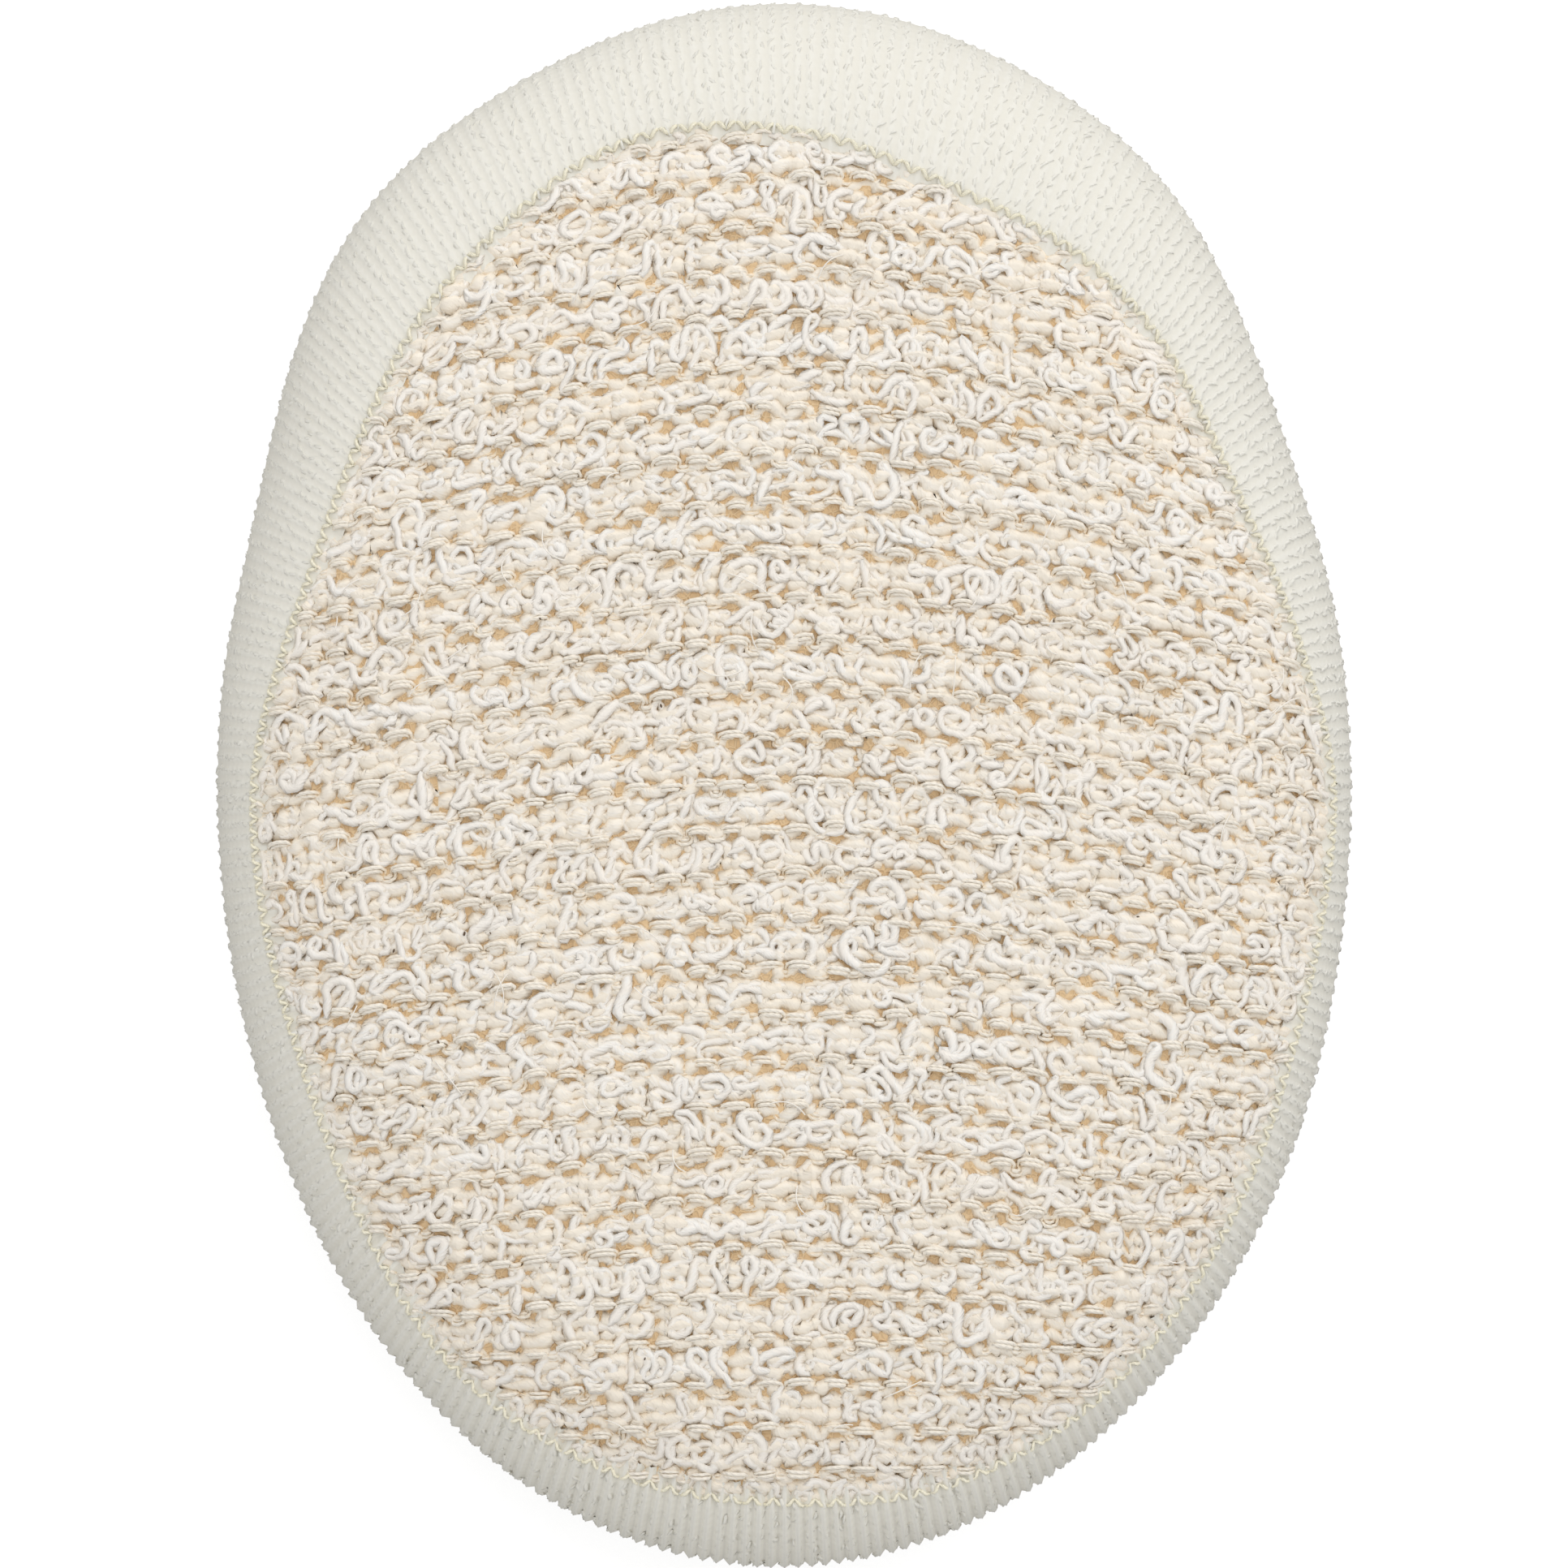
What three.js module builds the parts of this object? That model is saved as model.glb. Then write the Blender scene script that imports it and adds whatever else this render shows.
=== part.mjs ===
// Oval bath scrubber pad: a foam core in a sewn cover of a knitted face, a terry border and a terry back.
//
// Millimetres, +Z up. The pad lies on its back with the face up. The origin is the middle of the pad's
// footprint, on the surface it lies on; +Y runs along the pad's length, to the end with the wide border.
//
// Every piece is lofted round the pad's axis. At each angle the pad has one outer profile, from the middle
// of the face over the rim to the middle of the back, and each piece covers its own stretch of that profile.

import * as THREE from 'three';
import { ParametricGeometry } from 'three/addons/geometries/ParametricGeometry.js';

// ---- Driving dimensions ----

const HALF_WIDTH = 60;
const HALF_LENGTH = 82.5;
const THICKNESS = 30;

// The widest line round the side, and how square the shoulder above it is (2 is an ellipse).
const RIM_HEIGHT = 14;
const SHOULDER_POWER = 6;

// How far in from the rim the back turns flat, and where the back seam lies on that turn.
const BACK_TURN = 14;
const BACK_SEAM_INSET = 8;

const FACE_THICKNESS = 2.8;
const TERRY_THICKNESS = 2.4;
const FOAM_DEPTH = 3.3;

// The seam thread lies in the groove between two cut edges.
const THREAD_RADIUS = 0.5;
const THREAD_DEPTH = 0.8;
const GROOVE_HALF_WIDTH = 0.9;

// Where the stuffed outline is fuller or flatter than its ellipse: angle and spread in degrees.
const OUTLINE_BULGES = [
  { angle: 33, rise: -0.8, spread: 13 },
  { angle: 58, rise: 1.6, spread: 13 },
  { angle: 127, rise: 3.0, spread: 16 },
  { angle: 155, rise: -0.5, spread: 10 },
  { angle: 240, rise: 0.6, spread: 25 },
  { angle: 318, rise: 0.9, spread: 22 },
];

// How far in from the outline the border's front edge lies, at every 15 degrees from +X towards +Y.
const BORDER_WIDTHS = [
  1.4, 4.1, 6.4, 8.9, 12.6, 15.2, 13.7, 11.2, 12.4, 11.4, 8.3, 5.9,
  3.6, 3.8, 4.9, 5.0, 4.3, 5.8, 6.8, 4.2, 2.7, 2.9, 2.9, 2.0,
];

const STEPS_ROUND = 60;
const TURN = 2 * Math.PI;

// ---- The pad's outer surface ----

/** Distance from the axis to the pad's widest line. */
function outlineRadius(angle) {
  const across = Math.cos(angle) / HALF_WIDTH;
  const along = Math.sin(angle) / HALF_LENGTH;
  let radius = 1 / Math.hypot(across, along);
  for (const bulge of OUTLINE_BULGES) {
    const away = THREE.MathUtils.radToDeg(angle) - bulge.angle;
    const wrapped = THREE.MathUtils.euclideanModulo(away + 180, 360) - 180;
    radius += bulge.rise * Math.exp(-((wrapped / bulge.spread) ** 2));
  }
  return radius;
}

/** Width of border seen from above, on a smooth closed curve through BORDER_WIDTHS. */
function borderWidth(angle) {
  const count = BORDER_WIDTHS.length;
  const place = (angle / TURN) * count;
  const first = Math.floor(place);
  const t = place - first;
  const at = (offset) => BORDER_WIDTHS[THREE.MathUtils.euclideanModulo(first + offset, count)];
  const slopeIn = (at(1) - at(-1)) / 2;
  const slopeOut = (at(2) - at(0)) / 2;
  const rise = at(1) - at(0);
  const square = 3 * rise - 2 * slopeIn - slopeOut;
  const cube = slopeIn + slopeOut - 2 * rise;
  return at(0) + t * (slopeIn + t * (square + t * cube));
}

/** A point of the upper profile, tilt 0 at the middle of the face and 90 degrees at the rim, sunk by depth. */
function upperPoint(angle, tilt, depth) {
  const radius = outlineRadius(angle);
  const rise = THICKNESS - RIM_HEIGHT;
  const share = Math.sin(tilt) ** (2 / SHOULDER_POWER);
  const outward = (SHOULDER_POWER / radius) * share ** (SHOULDER_POWER - 1);
  const upward = (2 / rise) * Math.cos(tilt);
  const size = Math.hypot(outward, upward);
  return [
    radius * share - (depth * outward) / size,
    RIM_HEIGHT + rise * Math.cos(tilt) - (depth * upward) / size,
  ];
}

/** A point of the lower profile, turn 90 degrees at the rim and 0 where the back turns flat. */
function lowerPoint(angle, turn, depth) {
  const flatRadius = outlineRadius(angle) - BACK_TURN;
  return [
    flatRadius + (BACK_TURN - depth) * Math.sin(turn),
    RIM_HEIGHT - (RIM_HEIGHT - depth) * Math.cos(turn),
  ];
}

/** The upper profile's tilt at a given distance in from the outline. */
function tiltAtInset(angle, inset) {
  const share = 1 - inset / outlineRadius(angle);
  return Math.asin(share ** (SHOULDER_POWER / 2));
}

/** The lower profile's turn at a given distance in from the outline. */
function turnAtInset(inset) {
  return Math.asin(1 - inset / BACK_TURN);
}

/** The values from start to end in equal steps, both ends included. */
function span(start, end, steps) {
  return Array.from({ length: steps + 1 }, (_, k) => start + ((end - start) * k) / steps);
}

/** Points of the upper profile from one inset to another, or from the axis where the first is null. */
function upperRun(angle, fromInset, toInset, steps, depth) {
  const start = fromInset === null ? 0 : tiltAtInset(angle, fromInset);
  return span(start, tiltAtInset(angle, toInset), steps).map((tilt) => upperPoint(angle, tilt, depth));
}

/** Points of the lower profile from one inset to another. */
function lowerRun(angle, fromInset, toInset, steps, depth) {
  const run = span(turnAtInset(fromInset), turnAtInset(toInset), steps);
  return run.map((turn) => lowerPoint(angle, turn, depth));
}

// ---- Lofting ----

/** A closed body through one profile per angle, whose points run from the top of the section outwards. */
function loftAround(profileAt) {
  const sections = Array.from({ length: STEPS_ROUND }, (_, k) => profileAt((k * TURN) / STEPS_ROUND));
  const rows = sections[0].length - 1;
  const place = (u, v, target) => {
    const step = Math.round(u * STEPS_ROUND) % STEPS_ROUND;
    const angle = (step * TURN) / STEPS_ROUND;
    const [radius, height] = sections[step][rows - Math.round(v * rows)];
    target.set(radius * Math.cos(angle), radius * Math.sin(angle), height);
  };
  return new ParametricGeometry(place, STEPS_ROUND, rows);
}

/** A section that ends where it starts, for a ring round the axis. */
function closed(points) {
  return [...points, points[0]];
}

// ---- Pieces ----

/** The foam pad that fills the cover. */
function foamCore() {
  return loftAround((angle) => {
    const top = upperRun(angle, null, 0, 8, FOAM_DEPTH);
    const side = lowerRun(angle, 0, BACK_TURN, 4, FOAM_DEPTH);
    return [...top, ...side.slice(1), [0, FOAM_DEPTH]];
  });
}

/** The knitted panel, crowned over the foam and turned down at its edge. */
function facePanel() {
  return loftAround((angle) => {
    const edge = borderWidth(angle) + GROOVE_HALF_WIDTH;
    const outside = upperRun(angle, null, edge, 8, 0);
    const inside = upperRun(angle, null, edge, 8, FACE_THICKNESS);
    return [...outside, ...inside.reverse()];
  });
}

/** The terry band, from the front seam round the side to the back seam. */
function terryBorder() {
  return loftAround((angle) => {
    const front = borderWidth(angle) - GROOVE_HALF_WIDTH;
    const back = BACK_SEAM_INSET - GROOVE_HALF_WIDTH;
    const outside = [
      ...upperRun(angle, front, 0, 6, 0),
      ...lowerRun(angle, 0, back, 5, 0).slice(1),
    ];
    const inside = [
      ...upperRun(angle, front, 0, 6, TERRY_THICKNESS),
      ...lowerRun(angle, 0, back, 5, TERRY_THICKNESS).slice(1),
    ];
    return closed([...outside, ...inside.reverse()]);
  });
}

/** The terry panel that closes the back, flat where the pad rests on it. */
function backPanel() {
  return loftAround((angle) => {
    const edge = BACK_SEAM_INSET + GROOVE_HALF_WIDTH;
    const outside = lowerRun(angle, edge, BACK_TURN, 2, 0);
    const inside = lowerRun(angle, edge, BACK_TURN, 2, TERRY_THICKNESS);
    return [[0, TERRY_THICKNESS], ...inside.reverse(), ...outside, [0, 0]];
  });
}

/** A line of seam thread whose middle follows one point of each profile. */
function seamThread(middleAt) {
  return loftAround((angle) => {
    const [radius, height] = middleAt(angle);
    const round = span(Math.PI / 2, Math.PI / 2 - TURN, 6).slice(0, -1);
    return closed(round.map((a) => [
      radius + THREAD_RADIUS * Math.cos(a),
      height + THREAD_RADIUS * Math.sin(a),
    ]));
  });
}

/** The thread that sews the face to the border. */
function frontSeam() {
  return seamThread((angle) => upperPoint(angle, tiltAtInset(angle, borderWidth(angle)), THREAD_DEPTH));
}

/** The thread that sews the border to the back. */
function backSeam() {
  return seamThread((angle) => lowerPoint(angle, turnAtInset(BACK_SEAM_INSET), THREAD_DEPTH));
}

// ---- Assembly ----

const cottonKnit = { color: '#e0d7c8', roughness: 0.95, metalness: 0 };
const terryCloth = { color: '#e5e2d9', roughness: 0.95, metalness: 0 };
const foam = { color: '#c9ad80', roughness: 0.9, metalness: 0 };
const thread = { color: '#e9e5d4', roughness: 0.8, metalness: 0 };

const pad = new THREE.Group();

/** Adds one named piece with a material of its own. */
function add(name, geometry, look) {
  const mesh = new THREE.Mesh(geometry, new THREE.MeshStandardMaterial(look));
  mesh.name = name;
  pad.add(mesh);
}

add('foam_core', foamCore(), foam);
add('face_panel', facePanel(), cottonKnit);
add('terry_border', terryBorder(), terryCloth);
add('back_panel', backPanel(), terryCloth);
add('front_seam', frontSeam(), thread);
add('back_seam', backSeam(), thread);

export default pad;
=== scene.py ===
"""Oval bath scrubber pad: a knitted cotton face, a terry border and a terry back sewn round a foam core.

The frame's solids give the outline, the seams and the thickness. The foam is swollen by a cloth
simulation, and every cloth is then knitted on the surface that the foam gives: the face from courses of
smooth two-strand yarn and curly boucle yarn, the border and the back from small terry loops.

Shapes are worked out in millimetres and turned into metres when a mesh is made.
"""

import logging
import math
from collections.abc import Callable, Sequence
from dataclasses import dataclass, field, replace
from enum import Enum

import bpy
import numpy as np
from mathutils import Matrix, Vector
from mathutils.bvhtree import BVHTree


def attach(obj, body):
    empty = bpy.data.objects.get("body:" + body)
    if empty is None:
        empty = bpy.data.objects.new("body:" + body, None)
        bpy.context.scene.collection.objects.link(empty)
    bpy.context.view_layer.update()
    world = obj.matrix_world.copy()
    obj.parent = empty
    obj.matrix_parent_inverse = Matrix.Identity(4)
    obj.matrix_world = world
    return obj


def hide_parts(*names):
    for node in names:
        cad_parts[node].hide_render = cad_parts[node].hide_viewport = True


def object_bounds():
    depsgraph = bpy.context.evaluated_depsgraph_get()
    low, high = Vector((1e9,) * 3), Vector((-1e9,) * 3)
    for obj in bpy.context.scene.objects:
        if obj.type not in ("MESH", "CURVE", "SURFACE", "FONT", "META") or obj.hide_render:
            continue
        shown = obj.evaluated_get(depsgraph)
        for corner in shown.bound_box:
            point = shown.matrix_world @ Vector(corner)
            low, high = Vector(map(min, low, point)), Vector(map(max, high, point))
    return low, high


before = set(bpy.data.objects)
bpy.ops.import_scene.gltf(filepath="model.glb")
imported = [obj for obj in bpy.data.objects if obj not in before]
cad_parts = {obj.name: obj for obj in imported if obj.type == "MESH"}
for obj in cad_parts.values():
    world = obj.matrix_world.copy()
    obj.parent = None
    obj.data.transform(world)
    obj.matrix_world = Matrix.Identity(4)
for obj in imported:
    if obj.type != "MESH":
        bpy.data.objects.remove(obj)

Array = np.ndarray
Random = np.random.Generator
Piece = bpy.types.Object
Material = bpy.types.Material
Socket = bpy.types.NodeSocket
Colour = tuple[float, float, float]
Feed = Socket | float | Colour
Ripple = tuple[float, float]

LOG = logging.getLogger("bath_pad")
CAD_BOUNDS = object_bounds()

MM = 0.001
TURN = 2.0 * math.pi
TINY = 1e-6
BODY = "root"
SEED = 20


class Slot(Enum):
    """Material slots of the record."""

    FOAM = "foam"
    KNIT = "cotton_knit"
    TERRY = "terry"
    THREAD = "thread"


# ---- Shape of the stuffed pad ----


def unit(vectors: Array) -> Array:
    """Vectors scaled to length 1."""
    return vectors / np.maximum(np.linalg.norm(vectors, axis=-1, keepdims=True), 1e-9)


def slimmed(path: Array, radius: Array) -> Array:
    """Radii of a yarn, made less where it bends so tightly that its inner side would fold over.

    Args:
        path: The yarn's middle line.
        radius: Its radii.

    Returns:
        The radii that fit.
    """
    steepest_change, least_share = 1.2, 0.55
    ahead = np.gradient(path, axis=0)
    pace = np.maximum(np.linalg.norm(ahead, axis=1), TINY)
    bend = np.linalg.norm(np.gradient(ahead / pace[:, None], axis=0), axis=1) / pace
    fit = np.minimum(radius, 1.0 / np.maximum(bend, TINY))
    fit = np.minimum(fit, np.minimum(np.roll(fit, 1), np.roll(fit, -1)) * steepest_change)
    return np.maximum(fit, least_share * radius)


def smooth_noise(count: int, spacing: float, rng: Random) -> Array:
    """A smooth random line.

    Args:
        count: Number of values.
        spacing: Values from one random knot to the next.
        rng: Source of random numbers.

    Returns:
        Values of about -1 to 1.
    """
    knots = rng.uniform(-1.0, 1.0, int(count / spacing) + 4)
    place = np.arange(count) / spacing
    first = place.astype(int)
    share = place - first
    blend = (1.0 - np.cos(math.pi * share)) / 2.0
    return knots[first] * (1.0 - blend) + knots[first + 1] * blend


@dataclass(frozen=True)
class RoundCurve:
    """A smooth closed curve through values at equal steps of angle round the pad.

    Args:
        values: One value per step, from +X towards +Y.
    """

    values: Array

    def at(self, angle: Array) -> Array:
        """Reads the curve.

        Args:
            angle: Angles, in radians.

        Returns:
            The values there.
        """
        count = len(self.values)
        place = np.mod(angle / TURN, 1.0) * count
        first = np.floor(place).astype(int)
        t = place - first
        before, start, end, after = (self.values[(first + k) % count] for k in (-1, 0, 1, 2))
        slope_in, slope_out = (end - before) / 2.0, (after - start) / 2.0
        rise = end - start
        square = 3.0 * rise - 2.0 * slope_in - slope_out
        cube = slope_in + slope_out - 2.0 * rise
        return start + t * (slope_in + t * (square + t * cube))


def measure_round(node: str, steps: int, pick: Callable[[Array], float]) -> RoundCurve:
    """Measures a lofted node's radius at each of its angles.

    Args:
        node: Name of the node.
        steps: Number of angles that the node was lofted at.
        pick: Chooses one radius out of those at one angle.

    Returns:
        The radius round the pad, in millimetres.
    """
    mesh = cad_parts[node].data
    points = np.empty(len(mesh.vertices) * 3)
    mesh.vertices.foreach_get("co", points)
    points = points.reshape(-1, 3) / MM
    step = np.rint(np.arctan2(points[:, 1], points[:, 0]) / TURN * steps).astype(int) % steps
    radius = np.hypot(points[:, 0], points[:, 1])
    return RoundCurve(np.array([pick(radius[step == k]) for k in range(steps)]))


@dataclass(frozen=True)
class SurfaceMap:
    """A piece of the pad's surface, measured along it.

    Args:
        points: Points by angle and by distance along the surface.
        normals: Outward normals at the points.
        step: Distance from one point to the next, in millimetres.
        start: Distance of the first points, which is before the piece's first edge.
        lengths: The piece's length at each angle.
    """

    points: Array
    normals: Array
    step: float
    start: float
    lengths: Array

    def length(self, angle: Array) -> Array:
        """The piece's length at these angles."""
        return RoundCurve(self.lengths).at(angle)

    def at(self, angle: Array, distance: Array) -> tuple[Array, Array]:
        """Places on the surface.

        Args:
            angle: Angles round the pad, in radians.
            distance: Distances from the piece's first edge, in millimetres.

        Returns:
            The points and the outward normals there.
        """
        angles, rows = self.points.shape[:2]
        place = np.mod(angle / TURN, 1.0) * angles
        last = rows - 1.001  # just short of the last row, so that there is one after it
        row = np.clip((distance - self.start) / self.step, 0.0, last)
        i, j = np.floor(place).astype(int) % angles, np.floor(row).astype(int)
        s, t = (place - np.floor(place))[..., None], (row - np.floor(row))[..., None]
        k = (i + 1) % angles
        found = []
        for grid in (self.points, self.normals):
            near = grid[i, j] * (1.0 - t) + grid[i, j + 1] * t
            far = grid[k, j] * (1.0 - t) + grid[k, j + 1] * t
            found.append(near * (1.0 - s) + far * s)
        return found[0], unit(found[1])


@dataclass
class StuffedPad:
    """The pad's outer surface, from the frame's solids, and how the stuffing swells it.

    Args:
        rim_height: Height of the widest line round the side.
        shoulder_power: How square the shoulder above that line is.
        back_turn: How far in from the outline the back turns flat.
        cad_steps: Angles that the frame's solids are lofted at.
        angles: Angles of the surface grid.
        face_rows: Rows of the surface grid from the middle of the face to its seam.
        shoulder_rows: Rows from that seam to the widest line.
        turn_rows: Rows from the widest line to the back's seam.
        hem_rows: Rows from that seam to where the back is flat.
        back_rows: Rows of the flat back.
        sink: How far inside the solids the surface starts, before it swells.
        swell_cap: The most that the stuffing may push the surface out.
        pressure: Pressure of the stuffing in the simulation.
        frames: Frames that the simulation runs for.
        voxel: Size of the simulated cloth's mesh.
        held_near: Distance from a seam within which the simulated cloth is held, in voxels.
        held_low: Height below which it is held by the surface that the pad lies on.
        evened: How often the swell is evened out round the pad.
        map_step: Distance between the points of a surface map.
        map_margin: How far a surface map runs on past its edges.
        thickness: Height of the pad, from the frame, as the next three are.
        outline: Radius of the outline.
        front_seam: Radius of the seam between face and border.
        back_seam: Radius of the seam between border and back.
    """

    rim_height: float = 14.0
    shoulder_power: float = 6.0
    back_turn: float = 14.0
    cad_steps: int = 60
    angles: int = 360
    face_rows: int = 40
    shoulder_rows: int = 16
    turn_rows: int = 16
    hem_rows: int = 6
    back_rows: int = 24
    sink: float = 0.1
    swell_cap: float = 1.4
    pressure: float = 4.0
    frames: int = 20
    voxel: float = 5.0
    held_near: float = 0.7
    held_low: float = 0.5
    evened: int = 4
    map_step: float = 0.5
    map_margin: float = 2.5
    thickness: float = field(init=False)
    outline: RoundCurve = field(init=False)
    front_seam: RoundCurve = field(init=False)
    back_seam: RoundCurve = field(init=False)

    def __post_init__(self) -> None:
        """Reads the outline and the seams from the frame."""
        self.thickness = float(CAD_BOUNDS[1][2]) / MM
        self.outline = measure_round("terry_border", self.cad_steps, np.max)
        self.front_seam = measure_round("front_seam", self.cad_steps, np.mean)
        self.back_seam = measure_round("back_seam", self.cad_steps, np.mean)

    def profile_rows(self, angle: Array) -> tuple[Array, list[int]]:
        """Radius and height of the surface from the middle of the face to the middle of the back.

        Args:
            angle: Angles round the pad.

        Returns:
            Radii and heights by angle and row, and the rows of the two seams.
        """
        outline = self.outline.at(angle)[:, None]
        rise = self.thickness - self.rim_height
        half_power = self.shoulder_power / 2.0
        within = 0.999
        seam_share = np.minimum(self.front_seam.at(angle)[:, None] / outline, within)
        seam_tilt = np.arcsin(seam_share ** half_power)
        tilt = np.concatenate([
            np.arcsin((np.linspace(0.0, 1.0, self.face_rows + 1)[None] * seam_share) ** half_power),
            seam_tilt + self.shares(self.shoulder_rows) * (math.pi / 2.0 - seam_tilt),
        ], axis=1)
        upper = np.stack([
            outline * np.sin(tilt) ** (2.0 / self.shoulder_power),
            self.rim_height + rise * np.cos(tilt),
        ], axis=-1)
        back_share = (self.back_seam.at(angle)[:, None] - (outline - self.back_turn)) / self.back_turn
        least, most = 0.05, 0.98
        back_angle = np.arcsin(np.clip(back_share, least, most))
        turn = np.concatenate([
            math.pi / 2.0 + self.shares(self.turn_rows) * (back_angle - math.pi / 2.0),
            back_angle * (1.0 - self.shares(self.hem_rows)),
        ], axis=1)
        lower = np.stack([
            outline - self.back_turn + self.back_turn * np.sin(turn),
            self.rim_height * (1.0 - np.cos(turn)),
        ], axis=-1)
        inner = (outline - self.back_turn) * np.linspace(1.0, 0.0, self.back_rows + 1)[None, 1:]
        flat = np.stack([inner, np.zeros(inner.shape)], axis=-1)
        rows = np.concatenate([upper, lower, flat], axis=1)
        return rows, [self.face_rows, self.face_rows + self.shoulder_rows + self.turn_rows]

    def shares(self, rows: int) -> Array:
        """Equal shares of a stretch of rows, up to 1, without the 0 that the stretch before ends on."""
        return np.linspace(0.0, 1.0, rows + 1)[None, 1:]

    def grid(self) -> tuple[Array, list[int]]:
        """The surface before it swells, sunk into the solids.

        Returns:
            Points by angle and row, and the rows of the seams.
        """
        angle = np.arange(self.angles) * TURN / self.angles
        rows, seams = self.profile_rows(angle)
        points = np.stack([
            rows[..., 0] * np.cos(angle)[:, None],
            rows[..., 0] * np.sin(angle)[:, None],
            rows[..., 1],
        ], axis=-1)
        return points - self.sink * self.grid_normals(points), seams

    def grid_normals(self, points: Array) -> Array:
        """Finds which way a grid faces.

        Args:
            points: Points by angle and row, from the middle of the face to the middle of the back.

        Returns:
            Outward normals.
        """
        around = np.roll(points, -1, axis=0) - np.roll(points, 1, axis=0)
        along = np.gradient(points, axis=1)
        normals = np.cross(along, around)
        normals[:, 0] = (0.0, 0.0, 1.0)
        normals[:, -1] = (0.0, 0.0, -1.0)
        return unit(normals)

    def swollen(self) -> tuple[Array, list[int]]:
        """The grid after the stuffing has pushed it out between the seams.

        Returns:
            Points by angle and row, and the rows of the seams.
        """
        points, seams = self.grid()
        tree = self.simulate(points, seams)
        normals = self.grid_normals(points)
        reach = 3.0 * self.swell_cap
        moved = np.zeros(points.shape[:2])
        for i in range(points.shape[0]):
            for j in range(1, points.shape[1] - 1):
                start = Vector((points[i, j] - reach * normals[i, j]) * MM)
                hit = tree.ray_cast(start, Vector(normals[i, j]), 2.0 * reach * MM)
                if hit[0] is not None:
                    moved[i, j] = hit[3] / MM - reach
        moved[:, 0], moved[:, -1] = moved[:, 1].mean(), moved[:, -2].mean()
        moved = np.clip(moved, 0.0, self.swell_cap)
        for _ in range(self.evened):
            moved = (moved + np.roll(moved, 1, 0) + np.roll(moved, -1, 0)) / 3.0
        LOG.info("swell: mean %.2f mm, most %.2f mm", moved.mean(), moved.max())
        return points + moved[..., None] * normals, seams

    def simulate(self, points: Array, seams: Sequence[int]) -> BVHTree:
        """Blows a cloth skin of the pad up a little, held at its seams and at its flat back.

        Args:
            points: The skin's grid.
            seams: The rows of the seams.

        Returns:
            The simulated skin, for ray casts.
        """
        skin = MeshBuilder.grid(points, closed=True).make("pad_skin")
        skin.modifiers.new("remesh", "REMESH").mode = "VOXEL"
        skin.modifiers["remesh"].voxel_size = self.voxel * MM
        graph = bpy.context.evaluated_depsgraph_get()
        mesh = bpy.data.meshes.new_from_object(skin.evaluated_get(graph))
        bpy.data.objects.remove(skin)
        skin = bpy.data.objects.new("pad_skin", mesh)
        bpy.context.scene.collection.objects.link(skin)
        held = skin.vertex_groups.new(name="held")
        seam_lines = points[::3, list(seams)].reshape(-1, 3)
        for vertex in mesh.vertices:
            place = np.array(vertex.co) / MM
            away = np.linalg.norm(seam_lines - place, axis=1).min()
            if away < self.voxel * self.held_near or place[2] < self.sink + self.held_low:
                held.add([vertex.index], 1.0, "REPLACE")
        cloth = skin.modifiers.new("cloth", "CLOTH")
        cloth.settings.quality = 6
        cloth.settings.mass = 0.2
        cloth.settings.use_pressure = True
        cloth.settings.uniform_pressure_force = self.pressure
        cloth.settings.effector_weights.gravity = 0.0
        cloth.settings.vertex_group_mass = "held"
        cloth.collision_settings.use_collision = False
        for number in range(self.frames):
            bpy.context.scene.frame_set(number + 1)
        graph = bpy.context.evaluated_depsgraph_get()
        tree = BVHTree.FromObject(skin, graph)
        bpy.context.scene.frame_set(1)
        bpy.data.objects.remove(skin)
        return tree

    def maps(self, points: Array, seams: Sequence[int]) -> tuple[SurfaceMap, SurfaceMap, SurfaceMap]:
        """The face, the border and the back, each measured along its surface from its first edge.

        Args:
            points: The swollen surface by angle and row.
            seams: The rows of the seams.

        Returns:
            The three maps.
        """
        front, back = seams
        normals = self.grid_normals(points)
        stretches = (slice(front + 1), slice(front, back + 1), slice(None, back - 1, -1))
        face, border, under = (self.measured(points[:, rows], normals[:, rows]) for rows in stretches)
        return face, border, under

    def measured(self, points: Array, normals: Array) -> SurfaceMap:
        """A surface map with equal steps of distance, which runs on straight past both edges.

        Args:
            points: Points by angle and row.
            normals: Outward normals there.

        Returns:
            The map.
        """
        lengths = np.concatenate([
            np.zeros((len(points), 1)),
            np.cumsum(np.linalg.norm(np.diff(points, axis=1), axis=2), axis=1),
        ], axis=1)
        places = np.arange(-self.map_margin, lengths[:, -1].max() + self.map_margin, self.map_step)
        grids = [np.empty((len(points), len(places), 3)) for _ in range(2)]
        for i, along in enumerate(lengths):
            for grid, source in zip(grids, (points[i], normals[i])):
                for axis in range(3):
                    grid[i, :, axis] = np.interp(places, along, source[:, axis])
            beyond = np.maximum(places - along[-1], 0.0)[:, None]
            before = np.maximum(-places, 0.0)[:, None]
            grids[0][i] += beyond * unit(points[i, -1] - points[i, -2])
            grids[0][i] += before * unit(points[i, 0] - points[i, 1])
        return SurfaceMap(grids[0], unit(grids[1]), self.map_step, -self.map_margin, lengths[:, -1])


# ---- Meshes ----


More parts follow.
